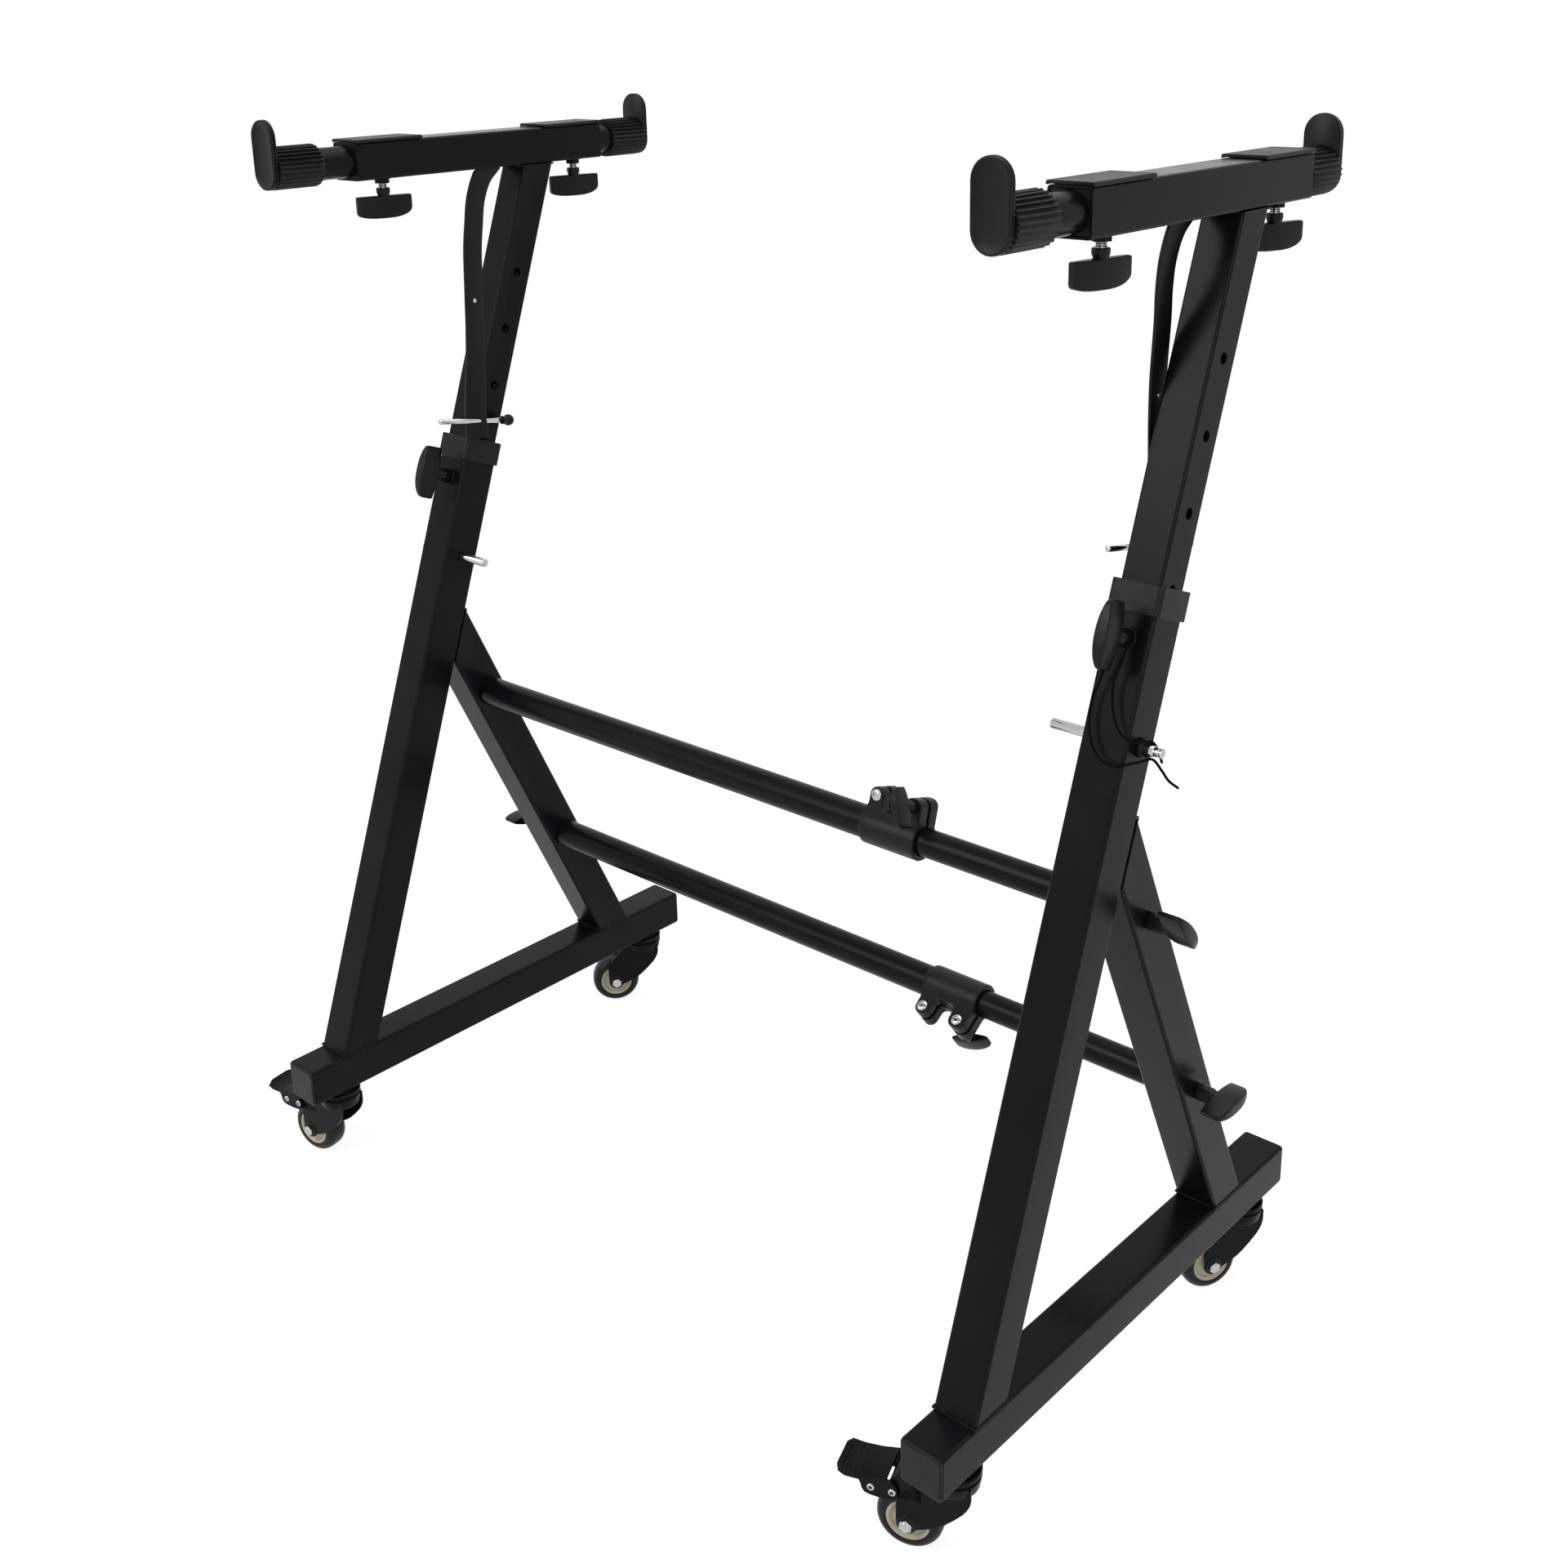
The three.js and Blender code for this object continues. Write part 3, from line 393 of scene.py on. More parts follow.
def spline(points, steps):
    """Points along a Catmull-Rom curve, evenly spaced, with centripetal knots."""
    points = [Vector(p) for p in points]
    points = [points[0] * 2 - points[1], *points, points[-1] * 2 - points[-2]]
    dense = []
    for p0, p1, p2, p3 in zip(points, points[1:], points[2:], points[3:]):
        k1 = max((p1 - p0).length, 1e-4) ** 0.5
        k2 = max((p2 - p1).length, 1e-4) ** 0.5
        k3 = max((p3 - p2).length, 1e-4) ** 0.5
        m1 = (p2 - p1) + k2 * ((p1 - p0) / k1 - (p2 - p0) / (k1 + k2))
        m2 = (p2 - p1) + k2 * ((p3 - p2) / k3 - (p3 - p1) / (k2 + k3))
        for i in range(24):
            u = i / 24
            dense.append(p1 * (2 * u ** 3 - 3 * u ** 2 + 1) + m1 * (u ** 3 - 2 * u ** 2 + u)
                         + p2 * (3 * u ** 2 - 2 * u ** 3) + m2 * (u ** 3 - u ** 2))
    dense.append(points[-2])
    lengths = [0.0]
    for a, b in zip(dense, dense[1:]):
        lengths.append(lengths[-1] + (b - a).length)
    even = []
    k = 0
    for i in range(steps + 1):
        want = lengths[-1] * i / steps
        while k < len(dense) - 2 and lengths[k + 1] < want:
            k += 1
        share = (want - lengths[k]) / max(lengths[k + 1] - lengths[k], 1e-9)
        even.append(dense[k].lerp(dense[k + 1], min(max(share, 0), 1)))
    return even


def tube_along(path, radius_at, sides=10, wrap=False):
    """A round tube along a path, turning no more than the path does."""
    count = len(path)
    tangents = []
    for i in range(count):
        before = path[i - 1] if wrap or i else path[0]
        after = path[(i + 1) % count] if wrap or i < count - 1 else path[-1]
        tangents.append((after - before).normalized())
    start = Vector((0, 0, 1)) if abs(tangents[0].z) < 0.8 else Vector((1, 0, 0))
    normal = (start - tangents[0] * start.dot(tangents[0])).normalized()
    rings = []
    for i, (point, tangent) in enumerate(zip(path, tangents)):
        normal = (normal - tangent * normal.dot(tangent)).normalized()
        other = tangent.cross(normal)
        radius = radius_at(i)
        rings.append([point + (normal * cos(a) + other * sin(a)) * radius
                      for a in (2 * pi * k / sides for k in range(sides))])
    return loft(rings, wrap)


def weld_bead(corners, radius):
    """A welded seam round a polygon: a tube with the scales of the weld pool."""
    path = []
    for a, b in zip(corners, corners[1:] + corners[:1]):
        a, b = Vector(a), Vector(b)
        steps = max(2, int((b - a).length / WELD_STEP))
        path += [a.lerp(b, i / steps) for i in range(steps)]
    return tube_along(path, lambda i: radius * (0.86 + 0.14 * (i % 2) + 0.06 * sin(i * 0.37)),
                      sides=8, wrap=True)


def settle(obj):
    """Keeps what the modifiers make as the object's own mesh."""
    depsgraph = bpy.context.evaluated_depsgraph_get()
    made = bpy.data.meshes.new_from_object(obj.evaluated_get(depsgraph))
    obj.modifiers.clear()
    obj.data = made


def raw_object(name, shapes, place):
    bm = bmesh.new()
    for verts, faces in shapes:
        made = [bm.verts.new(v) for v in verts]
        for face in faces:
            bm.faces.new([made[i] for i in face])
    bmesh.ops.remove_doubles(bm, verts=bm.verts, dist=1e-3)
    bmesh.ops.recalc_face_normals(bm, faces=bm.faces)
    bm.transform(Matrix.Scale(MM, 4) @ place)
    mesh = bpy.data.meshes.new(name)
    bm.to_mesh(mesh)
    bm.free()
    return new_object(name, mesh)


def cut_holes(obj, cutters, place):
    tool = raw_object(obj.name + "_cutter", cutters, place)
    cut = obj.modifiers.new("cut", "BOOLEAN")
    cut.operation = "DIFFERENCE"
    cut.solver = "EXACT"
    cut.use_self = True
    cut.object = tool
    settle(obj)
    bpy.data.objects.remove(tool)


def make(name, shapes, material, body, place=Matrix.Identity(4), bevel=0.0, segments=2, angle=32,
         cutters=(), replaced=""):
    """A finished piece that rides on a body."""
    obj = raw_object(name, shapes, place)
    if cutters:
        cut_holes(obj, cutters, place)
    if bevel:
        ease = obj.modifiers.new("ease", "BEVEL")
        ease.width = bevel * MM
        ease.segments = segments
        ease.limit_method = "ANGLE"
        ease.angle_limit = radians(angle)
        ease.miter_outer = "MITER_ARC"
        obj.data.shade_smooth()
        even = obj.modifiers.new("even", "WEIGHTED_NORMAL")
        even.keep_sharp = True
        settle(obj)
    else:
        obj.data.shade_smooth()
        obj.data.set_sharp_from_angle(angle=radians(angle))
    obj.data.materials.clear()
    obj.data.materials.append(material)
    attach(obj, body)
    if replaced:
        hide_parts(replaced)


# ---------------- side frames


def depth_section(width, near, radius):
    """A square in x and depth, near in from the upright's front face."""
    return [(x, d + near + width / 2) for x, d in rounded_rect(width, width, radius)]


def square_tube(width, near, radius, to_yz, low_at, high_at):
    """A square tube between two ends that may be cut at a slant."""
    outer = depth_section(width, near, radius)
    bore = depth_section(width - 2 * TUBE_WALL, near + TUBE_WALL, BORE_ROUND)
    return loft([[(x, *to_yz(t_at(d), d)) for x, d in outline] for outline, t_at in
                 ((outer, low_at), (outer, high_at), (bore, high_at), (bore, low_at))], wrap=True)


def end_weld(width, near, to_yz, t_at, radius=WELD_RADIUS):
    """The weld round the end of a square tube."""
    half = width / 2
    corners = ((-half, near), (half, near), (half, near + width), (-half, near + width))
    return weld_bead([(x, *to_yz(t_at(d), d)) for x, d in corners], radius)


def cross_hole(axis, radius, sides=24):
    return rod((-TUBE, *axis), (TUBE, *axis), radius, sides)


def make_base_beam(side):
    body = side + "_frame"
    steel = 2 * BEAM_HALF - 2 * BEAM_CAP
    height = BEAM_TOP_Z - BEAM_FOOT_Z
    middle_z = BEAM_FOOT_Z + height / 2
    turn = basis((1, 0, 0), (0, -1, 0), (0, steel / 2, middle_z))
    tube = moved(prism(rounded_rect(TUBE, height, TUBE_ROUND), 0, steel), turn)
    make(side + "_beam_tube", [tube], POWDER, body, SIDE_PLACE[side], bevel=0.25,
         replaced=side + "_base_beam")
    plate = rounded_rect(TUBE - 0.6, height - 0.6, TUBE_ROUND)
    dome = rounded_rect(TUBE - 5, height - 5, TUBE_ROUND)
    caps = [loft([[(x, way * (steel / 2 + out), middle_z + z) for x, z in outline] for outline, out in
                  ((plate, 0.05), (plate, 1.6), (dome, BEAM_CAP - 0.1))]) for way in (-1, 1)]
    make(side + "_beam_caps", caps, PLASTIC, body, SIDE_PLACE[side], bevel=0.5)


def make_upright(side):
    body = side + "_frame"
    tube = square_tube(TUBE, 0, TUBE_ROUND, on_upright, lambda d: upright_t(BEAM_TOP_Z + GAP, d),
                       lambda d: UPRIGHT_LENGTH)
    screw_hole = rod((0, *on_upright(HEIGHT_KNOB_AT, -5)), (0, *on_upright(HEIGHT_KNOB_AT, 6)),
                     SCREW_HOLE_RADIUS, 24)
    pin_hole = cross_hole(on_upright(THROUGH_PIN_AT, TUBE / 2), PIN_HOLE_RADIUS)
    make(side + "_upright_tube", [tube], POWDER, body, SIDE_PLACE[side], bevel=0.25,
         cutters=[pin_hole, screw_hole], replaced=side + "_outer_upright")
    foot = end_weld(TUBE, 0, on_upright, lambda d: upright_t(BEAM_TOP_Z + WELD_RISE, d))
    make(side + "_upright_weld", [foot], POWDER, body, SIDE_PLACE[side])


def make_brace(side):
    body = side + "_frame"
    tube = square_tube(TUBE, 0, TUBE_ROUND, on_brace, lambda d: brace_t(BEAM_TOP_Z + GAP, d),
                       lambda d: brace_top(d) + 2 * GAP)
    make(side + "_brace_tube", [tube], POWDER, body, SIDE_PLACE[side], bevel=0.25,
         cutters=[cross_hole(axis, SCREW_HOLE_RADIUS) for axis in BAR_AXIS.values()],
         replaced=side + "_brace")
    foot = end_weld(TUBE, 0, on_brace, lambda d: brace_t(BEAM_TOP_Z + WELD_RISE, d))
    top = end_weld(TUBE, 0, on_brace, lambda d: brace_top(d) - 0.2, 0.7)
    make(side + "_brace_welds", [foot, top], POWDER, body, SIDE_PLACE[side])


def make_collar(side):
    """A plastic cap over the end of the upright, with a mouth for the mast."""
    high = UPRIGHT_LENGTH + COLLAR_RISE
    low = high - COLLAR_HEIGHT
    lip = high - COLLAR_LIP
    out = GAP + COLLAR_WALL
    outer = depth_section(TUBE + 2 * out, -out, 4.4)
    snug = depth_section(TUBE + 2 * GAP, -GAP, 3.2)
    mouth = depth_section(MAST + 0.9, MAST_NEAR - 0.45, 2.8)
    shell = loft([[(x, *on_upright(t, d)) for x, d in outline] for outline, t in
                  ((outer, low), (outer, high), (mouth, high), (mouth, lip), (snug, lip), (snug, low))],
                 wrap=True)
    make(side + "_collar", [shell], PLASTIC, side + "_frame", SIDE_PLACE[side], bevel=0.7, segments=3,
         replaced=side + "_height_collar")


# ---------------- masts and arms


def make_mast(side):
    body = side + "_mast"
    tube = square_tube(MAST, MAST_NEAR, MAST_ROUND, on_upright, lambda d: MAST_LOW_END,
                       lambda d: upright_t(ARM_BOTTOM_Z - GAP, d))
    # Hidden in the outer upright: the slot that slides over the through-pin.
    slot_top = THROUGH_PIN_AT + HEIGHT_TRAVEL
    low_d, high_d = TUBE / 2 - PIN_HOLE_RADIUS, TUBE / 2 + PIN_HOLE_RADIUS
    slot = [on_upright(t, d) for t, d in ((THROUGH_PIN_AT, low_d), (THROUGH_PIN_AT, high_d),
                                          (slot_top, high_d), (slot_top, low_d))]
    holes = [cross_hole(on_upright(t, TUBE / 2), PIN_HOLE_RADIUS, 32)
             for t in (*PIN_HOLES, THROUGH_PIN_AT, slot_top)]
    holes.append(loft([[(x, y, z) for y, z in slot] for x in (-TUBE, TUBE)]))
    make(side + "_mast_tube", [tube], POWDER, body, SIDE_PLACE[side], bevel=0.25, cutters=holes,
         replaced=side + "_inner_upright")
    head = end_weld(MAST, MAST_NEAR, on_upright, lambda d: upright_t(ARM_BOTTOM_Z - 0.9, d), 0.9)
    make(side + "_mast_weld", [head], POWDER, body, SIDE_PLACE[side])


def about_arm(layers, x=0.0, wrap=True):
    """Outlines round the arm's axis, each at its own y."""
    return loft([[(x + a, y, ARM_AXIS_Z + b) for a, b in outline] for outline, y in layers], wrap)


def make_arm(side):
    outline = rounded_rect(ARM_WIDTH, ARM_HEIGHT, 2.6)
    bore = rounded_rect(ARM_WIDTH - 2 * ARM_WALL, ARM_HEIGHT - 2 * ARM_WALL, BORE_ROUND)
    tube = about_arm(((outline, ARM_FRONT_Y), (outline, ARM_REAR_Y), (bore, ARM_REAR_Y),
                      (bore, ARM_FRONT_Y)))
    screws_y = [joint_at(f"{side}_{end}_arm_knob_turn").y - mid_y for end in ENDS]
    holes = [rod((0, y, ARM_BOTTOM_Z - 3), (0, y, ARM_BOTTOM_Z + 4), SCREW_HOLE_RADIUS, 24)
             for y in screws_y]
    make(side + "_arm_square_tube", [tube], POWDER, side + "_mast", SIDE_PLACE[side], bevel=0.25,
         cutters=holes, replaced=side + "_arm_tube")
    for end in ENDS:
        make_arm_bushing(side, end)
        make_pad(side, end)


def make_arm_bushing(side, end):
    """The plastic ring that guides the extension in the end of the arm."""
    end_y = ARM_FRONT_Y if end == "front" else ARM_REAR_Y
    outline = rounded_rect(ARM_WIDTH - 4.6, ARM_HEIGHT - 4.6, 1.4, steps=7)
    hole = circle(EXTENSION[0] + 0.25, len(outline))
    layers = [(section, end_y - ENDS[end] * depth) for section, depth in
              ((outline, 12), (outline, 0.6), (hole, 0.6), (hole, 12))]
    make(f"{side}_{end}_bushing", [about_arm(layers)], PLASTIC, side + "_mast", SIDE_PLACE[side])


def make_pad(side, end):
    """A thin sheet of rubber on the arm, with turned-down edges."""
    low, high = box_mm(f"{side}_{end}_pad")
    lap = 3.0
    thick = 1.3
    half = (high.x - low.x) / 2
    centre = (low.x + high.x) / 2
    right = [(half + 0.4, 0), (half + thick, -1.2), (half + thick, -lap), (half + 0.25, -lap),
             (half + 0.25, -thick - 1.0)]
    profile = right + [(-x, z) for x, z in right[::-1]]
    rings = [[(centre + x, y, high.z + z) for x, z in profile] for y in (low.y, high.y)]
    make(f"{side}_{end}_pad_sheet", [loft(rings)], RUBBER, side + "_mast", bevel=0.35,
         replaced=f"{side}_{end}_pad")


# ---------------- arm extensions


def rib_outline(high, low, ribs, lean=0.35):
    """Saw teeth all round: a steep flank and a long one."""
    points = []
    for i in range(ribs):
        start = 2 * pi * i / ribs
        pitch = 2 * pi / ribs
        for share, radius in ((0.0, low), (lean * 0.4, high - 0.15), (lean, high), (0.82, low)):
            angle = start + share * pitch
            points.append((radius * cos(angle), radius * sin(angle)))
    return points


def stadium(inset, steps=14):
    radius = STOP_WIDTH / 2 - inset
    return (arc(0, STOP_ABOVE - STOP_WIDTH / 2, radius, 0, 180, steps)
            + arc(0, STOP_WIDTH / 2 - STOP_BELOW, radius, 180, 180, steps))


def make_extension(side, end):
    """The tube that slides in the arm, and the ribbed grip with the stop plate on its end."""
    way = ENDS[end]
    body = f"{side}_{end}_arm_extension"
    low, high = box_mm(f"{side}_{end}_extension")
    x = frame_x[side]
    outer, inner = (circle(radius, 64) for radius in EXTENSION)
    tube = about_arm(((outer, low.y), (outer, high.y), (inner, high.y), (inner, low.y)), x)
    make(f"{side}_{end}_extension_tube", [tube], POWDER, body, bevel=0.3,
         replaced=f"{side}_{end}_extension")

    low, high = box_mm(f"{side}_{end}_end_support")
    plate_y = (low.y + STOP_THICK) if way < 0 else (high.y - STOP_THICK)
    mouth_y = plate_y - way * min(GRIP_LENGTH[end], high.y - low.y - STOP_THICK)
    ribs = rib_outline(GRIP_RADIUS, GRIP_RADIUS - GRIP_RIB_DEPTH, GRIP_RIBS)
    bore = circle(EXTENSION[0] + GAP, len(ribs))
    waist = [(a * 0.955, b * 0.955) for a, b in ribs]
    grip = about_arm(((ribs, plate_y), (ribs, mouth_y + way * 1.2), (waist, mouth_y), (bore, mouth_y),
                      (bore, plate_y)), x)

    def plate(layers):
        return about_arm([(stadium(inset), plate_y + way * out) for inset, out in layers], x, wrap=False)
    backing = plate(((0.6, 0), (0.0, 0.5), (0.0, 2.1), (0.5, 2.5)))
    face = plate(((0.9, 2.5), (0.25, 2.9), (0.0, 3.6), (0.15, 4.9), (0.7, 5.45), (1.5, 5.5),
                  (2.3, 5.2), (4.2, 4.3), (7.0, 3.7), (11.0, 3.4)))
    make(f"{side}_{end}_support", [grip, backing, face], RUBBER, body, angle=50,
         replaced=f"{side}_{end}_end_support")


# ---------------- knobs
KNOB_TURN = {  # degrees: the way each wing points at rest
    "right_front_arm": 78, "right_rear_arm": 71, "left_front_arm": 76, "left_rear_arm": 76,
    "right_upper_bar": -50, "right_lower_bar": 3, "left_upper_bar": -50, "left_lower_bar": -8,
}
CLAMP_TURN = {"upper": radians(-17), "lower": radians(126)}
CLAMP_WING_TURN = {"upper": radians(-24), "lower": radians(111)}
WING_SLICES = 44
WING_EDGE = 1.3
NUT_RADIUS = 7.2
NUT_HOLE_RADIUS = 4.3


def wing_way(name):
    if name.endswith("_height_knob"):
        return Vector((0, sin(UPRIGHT_LEAN), cos(UPRIGHT_LEAN)))
    if name.endswith("_clamp_knob"):
        level = name.split("_")[0]
        turn = CLAMP_WING_TURN[level]
        return Matrix.Rotation(CLAMP_TURN[level], 3, "X") @ Vector((sin(turn), 0, cos(turn)))
    turn = radians(KNOB_TURN[name.removesuffix("_knob")])
    if name.endswith("_arm_knob"):
        return Vector((cos(turn), sin(turn), 0))
    return Vector((0, cos(turn), sin(turn)))


def knob_basis(name):
    """The knob's own frame: the tube's face at z = 0, z outward and the wing along x."""
    joint = name + "_turn"
    return basis(wing_way(name), joint_of[joint]["axis"], joint_at(joint))


def wing_shape(wing_from, wing_to, length, thick, round_end, taper):
    """A lever, thickest in the middle, with one outer corner nearly square and the other round."""
    half = length / 2
    height = wing_to - wing_from
    rings = []
    for i in range(WING_SLICES + 1):
        u = -cos(pi * i / WING_SLICES)
        share = abs(u)
        fall, power = (0.44, 2.6) if u * round_end > 0 else (0.24, 3.0)
        drop = fall * height * (1 - sqrt(max(0.0, 1 - share ** power)))
        past = max(0.0, (share - 1) * half / WING_EDGE + 1)
        inset = WING_EDGE * (1 - sqrt(max(0.0, 1 - past * past)))
        wide = thick * (1 - taper * share ** 2) - 1.6 * inset
        low = wing_from + inset
        high = wing_to - drop - inset
        rings.append([(u * half, y, (low + high) / 2 + w)
                      for y, w in rounded_rect(wide, high - low, min(WING_EDGE, wide * 0.4))])
    return loft(rings)


def make_knob(name, reach, hub_from, wing_from, wing_to, length, thick, screw=8.0, round_end=1, taper=0.4):
    """A wing on a hub, with a screw that reaches into the tube."""
    radius = thick * 0.62
    hub = lathe([(0, hub_from), (radius - 0.6, hub_from), (radius, hub_from + 0.6),
                 (radius, wing_from - 3), (radius * 0.86, wing_from - 1), (radius * 0.8, wing_from + 2),
                 (0, wing_from + 2)], 40)
    make(name + "_lever", [wing_shape(wing_from, wing_to, length, thick, round_end, taper), hub],
         PLASTIC, name, knob_basis(name), angle=40, replaced=name)
    make(name + "_screw", [screw_rod((0, 0, -reach), (0, 0, hub_from + 1), screw / 2)], STEEL, name,
         knob_basis(name))


def make_welded_nut(knob, body, height):
    nut, hole = circle(NUT_RADIUS, 6), circle(NUT_HOLE_RADIUS, 6)
    ring = loft([[(x, y, z) for x, y in section] for section, z in
                 ((nut, 0.05), (nut, height), (hole, height), (hole, 0.05))], wrap=True)
    seam = tube_along([Vector((x, y, 0.3)) for x, y in circle(NUT_RADIUS + 0.2, 40)],
                      lambda i: WELD_RADIUS * (0.88 + 0.12 * (i % 2)), sides=8, wrap=True)
    make(knob.replace("knob", "nut"), [ring, seam], POWDER, body, knob_basis(knob), bevel=0.5)


def make_side_knobs(side):
    for end in ENDS:
        make_knob(f"{side}_{end}_arm_knob", **KNOBS["arm"])
        make_welded_nut(f"{side}_{end}_arm_knob", side + "_mast", 5)
    make_knob(side + "_height_knob", **KNOBS["height"])
    make_welded_nut(side + "_height_knob", side + "_frame", 7)
    for level in BAR_AT:
        make_knob(f"{side}_{level}_bar_knob", **KNOBS["bar"])


# ---------------- cross bars and clamps
OUTER_BAR = (14.0, 12.4)  # radius outside and inside
INNER_BAR = (12.0, 10.5)
CLAMP_LOW_X = 132.0
CLAMP_HIGH_X = 190.0
CLAMP_SLIT = 1.5  # half its width
EAR_RISE = 27.2
EAR_REACH = 12.0
EAR_ROUND = 7.0
EAR_FOOT = 10.0
EAR_SADDLE = 15.6
FIXED_EAR_X = 143.0
FIXED_EAR_HALF = 7.0
KNOB_EAR_X = 181.0
KNOB_EAR_HALF = 8.6
KNOBS = {  # each kind in its own frame: the screw's reach inward, the hub's start, and the wing
    "arm": dict(reach=2.2, hub_from=9, wing_from=16, wing_to=36, length=52, thick=10),
    "height": dict(reach=2.0, hub_from=9, wing_from=16, wing_to=36, length=50, thick=11, round_end=-1,
                   taper=0.62),
    "bar": dict(reach=TUBE + GAP + 7, hub_from=0.8, wing_from=16, wing_to=36, length=50, thick=11,
                taper=0.75),
    "clamp": dict(reach=2 * EAR_REACH + 1, hub_from=1.2, wing_from=8, wing_to=25, length=34, thick=8,
                  screw=5.0, taper=0.72),
}


def make_bar(level):
    """The outer bar of the left frame, and the bar of the right frame that slides in it."""
    place = MIDDLE_PLACE @ basis((0, 1, 0), (1, 0, 0), (0, *BAR_AXIS[level]))
    inner_low, inner_high = box_mm(level + "_bar_inner_tube")
    outer_low = box_mm(level + "_bar_outer_tube")[0]
    for part, body, (outside, inside), low, high in (
            ("outer", "left_frame", OUTER_BAR, outer_low.x - mid_x, BAR_JOINT_X - GAP),
            ("inner", "right_frame", INNER_BAR, inner_low.x - mid_x, inner_high.x - mid_x)):
        tube = lathe([(outside, low), (outside, high), (inside, high), (inside, low)], 72, wrap=True)
        make(f"{level}_{part}_bar", [tube], POWDER, body, place, bevel=0.3,
             replaced=f"{level}_bar_{part}_tube")


def ear_head(x, half_width):
    """The round head of an ear: two quarter arcs about the height of the screw."""
    flat = half_width - EAR_ROUND
    return (arc(x + flat, EAR_RISE, EAR_ROUND, 0, 90, 8)
            + arc(x - flat, EAR_RISE, EAR_ROUND, 90, 90, 8))


def ears_outline():
    """Both ears in x and height: round heads, a saddle between them, feet that flare out."""
    points = [(CLAMP_LOW_X + 0.8, EAR_FOOT), (CLAMP_HIGH_X - 0.3, EAR_FOOT), (CLAMP_HIGH_X - 0.3, 14.5)]
    points += ear_head(KNOB_EAR_X, KNOB_EAR_HALF)
    from_x, to_x = KNOB_EAR_X - KNOB_EAR_HALF, FIXED_EAR_X + FIXED_EAR_HALF
    centre, reach = (from_x + to_x) / 2, (from_x - to_x) / 2
    rise = EAR_RISE - 5 - EAR_SADDLE
    for i in range(1, 16):
        a = pi * i / 16
        points.append((centre + reach * cos(a), EAR_SADDLE + rise * (1 - sin(a)) ** 2))
    points += ear_head(FIXED_EAR_X, FIXED_EAR_HALF)
    foot_x = FIXED_EAR_X - FIXED_EAR_HALF
    return points + [(foot_x - 2.9 * (i / 5) ** 2, 21 - 6 * i / 5) for i in range(6)]


def round_head(x, way, reach):
    """A domed screw head with a round socket, against the outer face of an ear."""
    profile = [(0, 0), (5, 0), (5, 0.7), (4.3, 1.5), (3.1, 1.95), (2.5, 2.0), (2.3, 1.0), (0, 0.9)]
    return moved(lathe(profile, 36), basis((1, 0, 0), (0, way, 0), (x, way * reach, EAR_RISE)))


def make_clamp(level):
    """A split sleeve on the end of the outer bar, with ears, a fixed bolt and a knob."""
    body = "left_frame"
    turn = Matrix.Rotation(CLAMP_TURN[level], 4, "X")
    place = MIDDLE_PLACE @ Matrix.Translation((0, *BAR_AXIS[level])) @ turn
    profile = [(15.2, CLAMP_LOW_X), (16.5, CLAMP_LOW_X + 1.6), (16.7, CLAMP_LOW_X + 6),
               (16.7, CLAMP_HIGH_X - 1.5), (15.6, CLAMP_HIGH_X), (12.35, CLAMP_HIGH_X),
               (12.35, BAR_JOINT_X + 1), (14.3, BAR_JOINT_X), (14.3, CLAMP_LOW_X)]
    sleeve = moved(lathe(profile, 72, wrap=True), basis((0, 1, 0), (1, 0, 0)))
    slit_outline = [(CLAMP_LOW_X - 2, 5), (CLAMP_HIGH_X + 2, 5), (CLAMP_HIGH_X + 2, 40),
                    (CLAMP_LOW_X - 2, 40)]
    slit = moved(prism(slit_outline, -CLAMP_SLIT, CLAMP_SLIT), SIDE_ON)
    make(level + "_clamp_sleeve", [sleeve], PLASTIC, body, place, cutters=[slit], bevel=0.5, angle=40,
         replaced=level + "_clamp")
    near = CLAMP_SLIT + 0.1
    ears = [moved(prism(ears_outline(), low, high), SIDE_ON)
            for low, high in ((near, EAR_REACH), (-EAR_REACH, -near))]
    hole = rod((KNOB_EAR_X, -20, EAR_RISE), (KNOB_EAR_X, 20, EAR_RISE), 2.8, 20)
    make(level + "_clamp_ears", ears, PLASTIC, body, place, bevel=1.0, segments=3, cutters=[hole])
    bolt = [round_head(FIXED_EAR_X, way, EAR_REACH + 0.02) for way in (-1, 1)]
    bolt.append(rod((FIXED_EAR_X, -EAR_REACH, EAR_RISE), (FIXED_EAR_X, EAR_REACH, EAR_RISE), 2.5, 20))
    make(level + "_clamp_bolt", bolt, STEEL, body, place, angle=30)
    name = level + "_clamp_knob"
    make_knob(name, **KNOBS["clamp"])
    make(name + "_head", [round_head(KNOB_EAR_X, 1, EAR_REACH + GAP)], STEEL, name, place, angle=30)


# ---------------- straps and pins
STRAP_WIDTH = 21.5
STRAP_THICK = 2.4
STRAP_TWIST = radians(20)
STRAP_ROUTES = {  # inward of the centre plane, Y and height from the mast's head under the arm
    "left": [(9, -48.5, 7), (10, -64.5, -7), (11.5, -75.5, -27), (13, -81, -49), (15, -86, -71),
             (20, -92.5, -112), (26, -100.5, -170), (33.5, -111.5, -222), (34.5, -112, -247)],
    "right": [(9, -44.5, 7), (10, -60.5, -7), (11.5, -68.5, -27), (13.5, -69, -49), (15.5, -66, -71),
              (20, -61.5, -115), (25, -52.5, -167), (31, -44.5, -227), (32, -44, -259)],
}
STRAP_PINS = {  # the same
    "left": {"tip": (39.5, -158.5, -222), "head": (30, -70, -237)},
    "right": {"tip": (37, -93.5, -235), "head": (27.5, 0.5, -250)},
}
STRAP_STUD_AT = 0.52  # share of the strap's length from the arm
STRAP_STEPS = 60


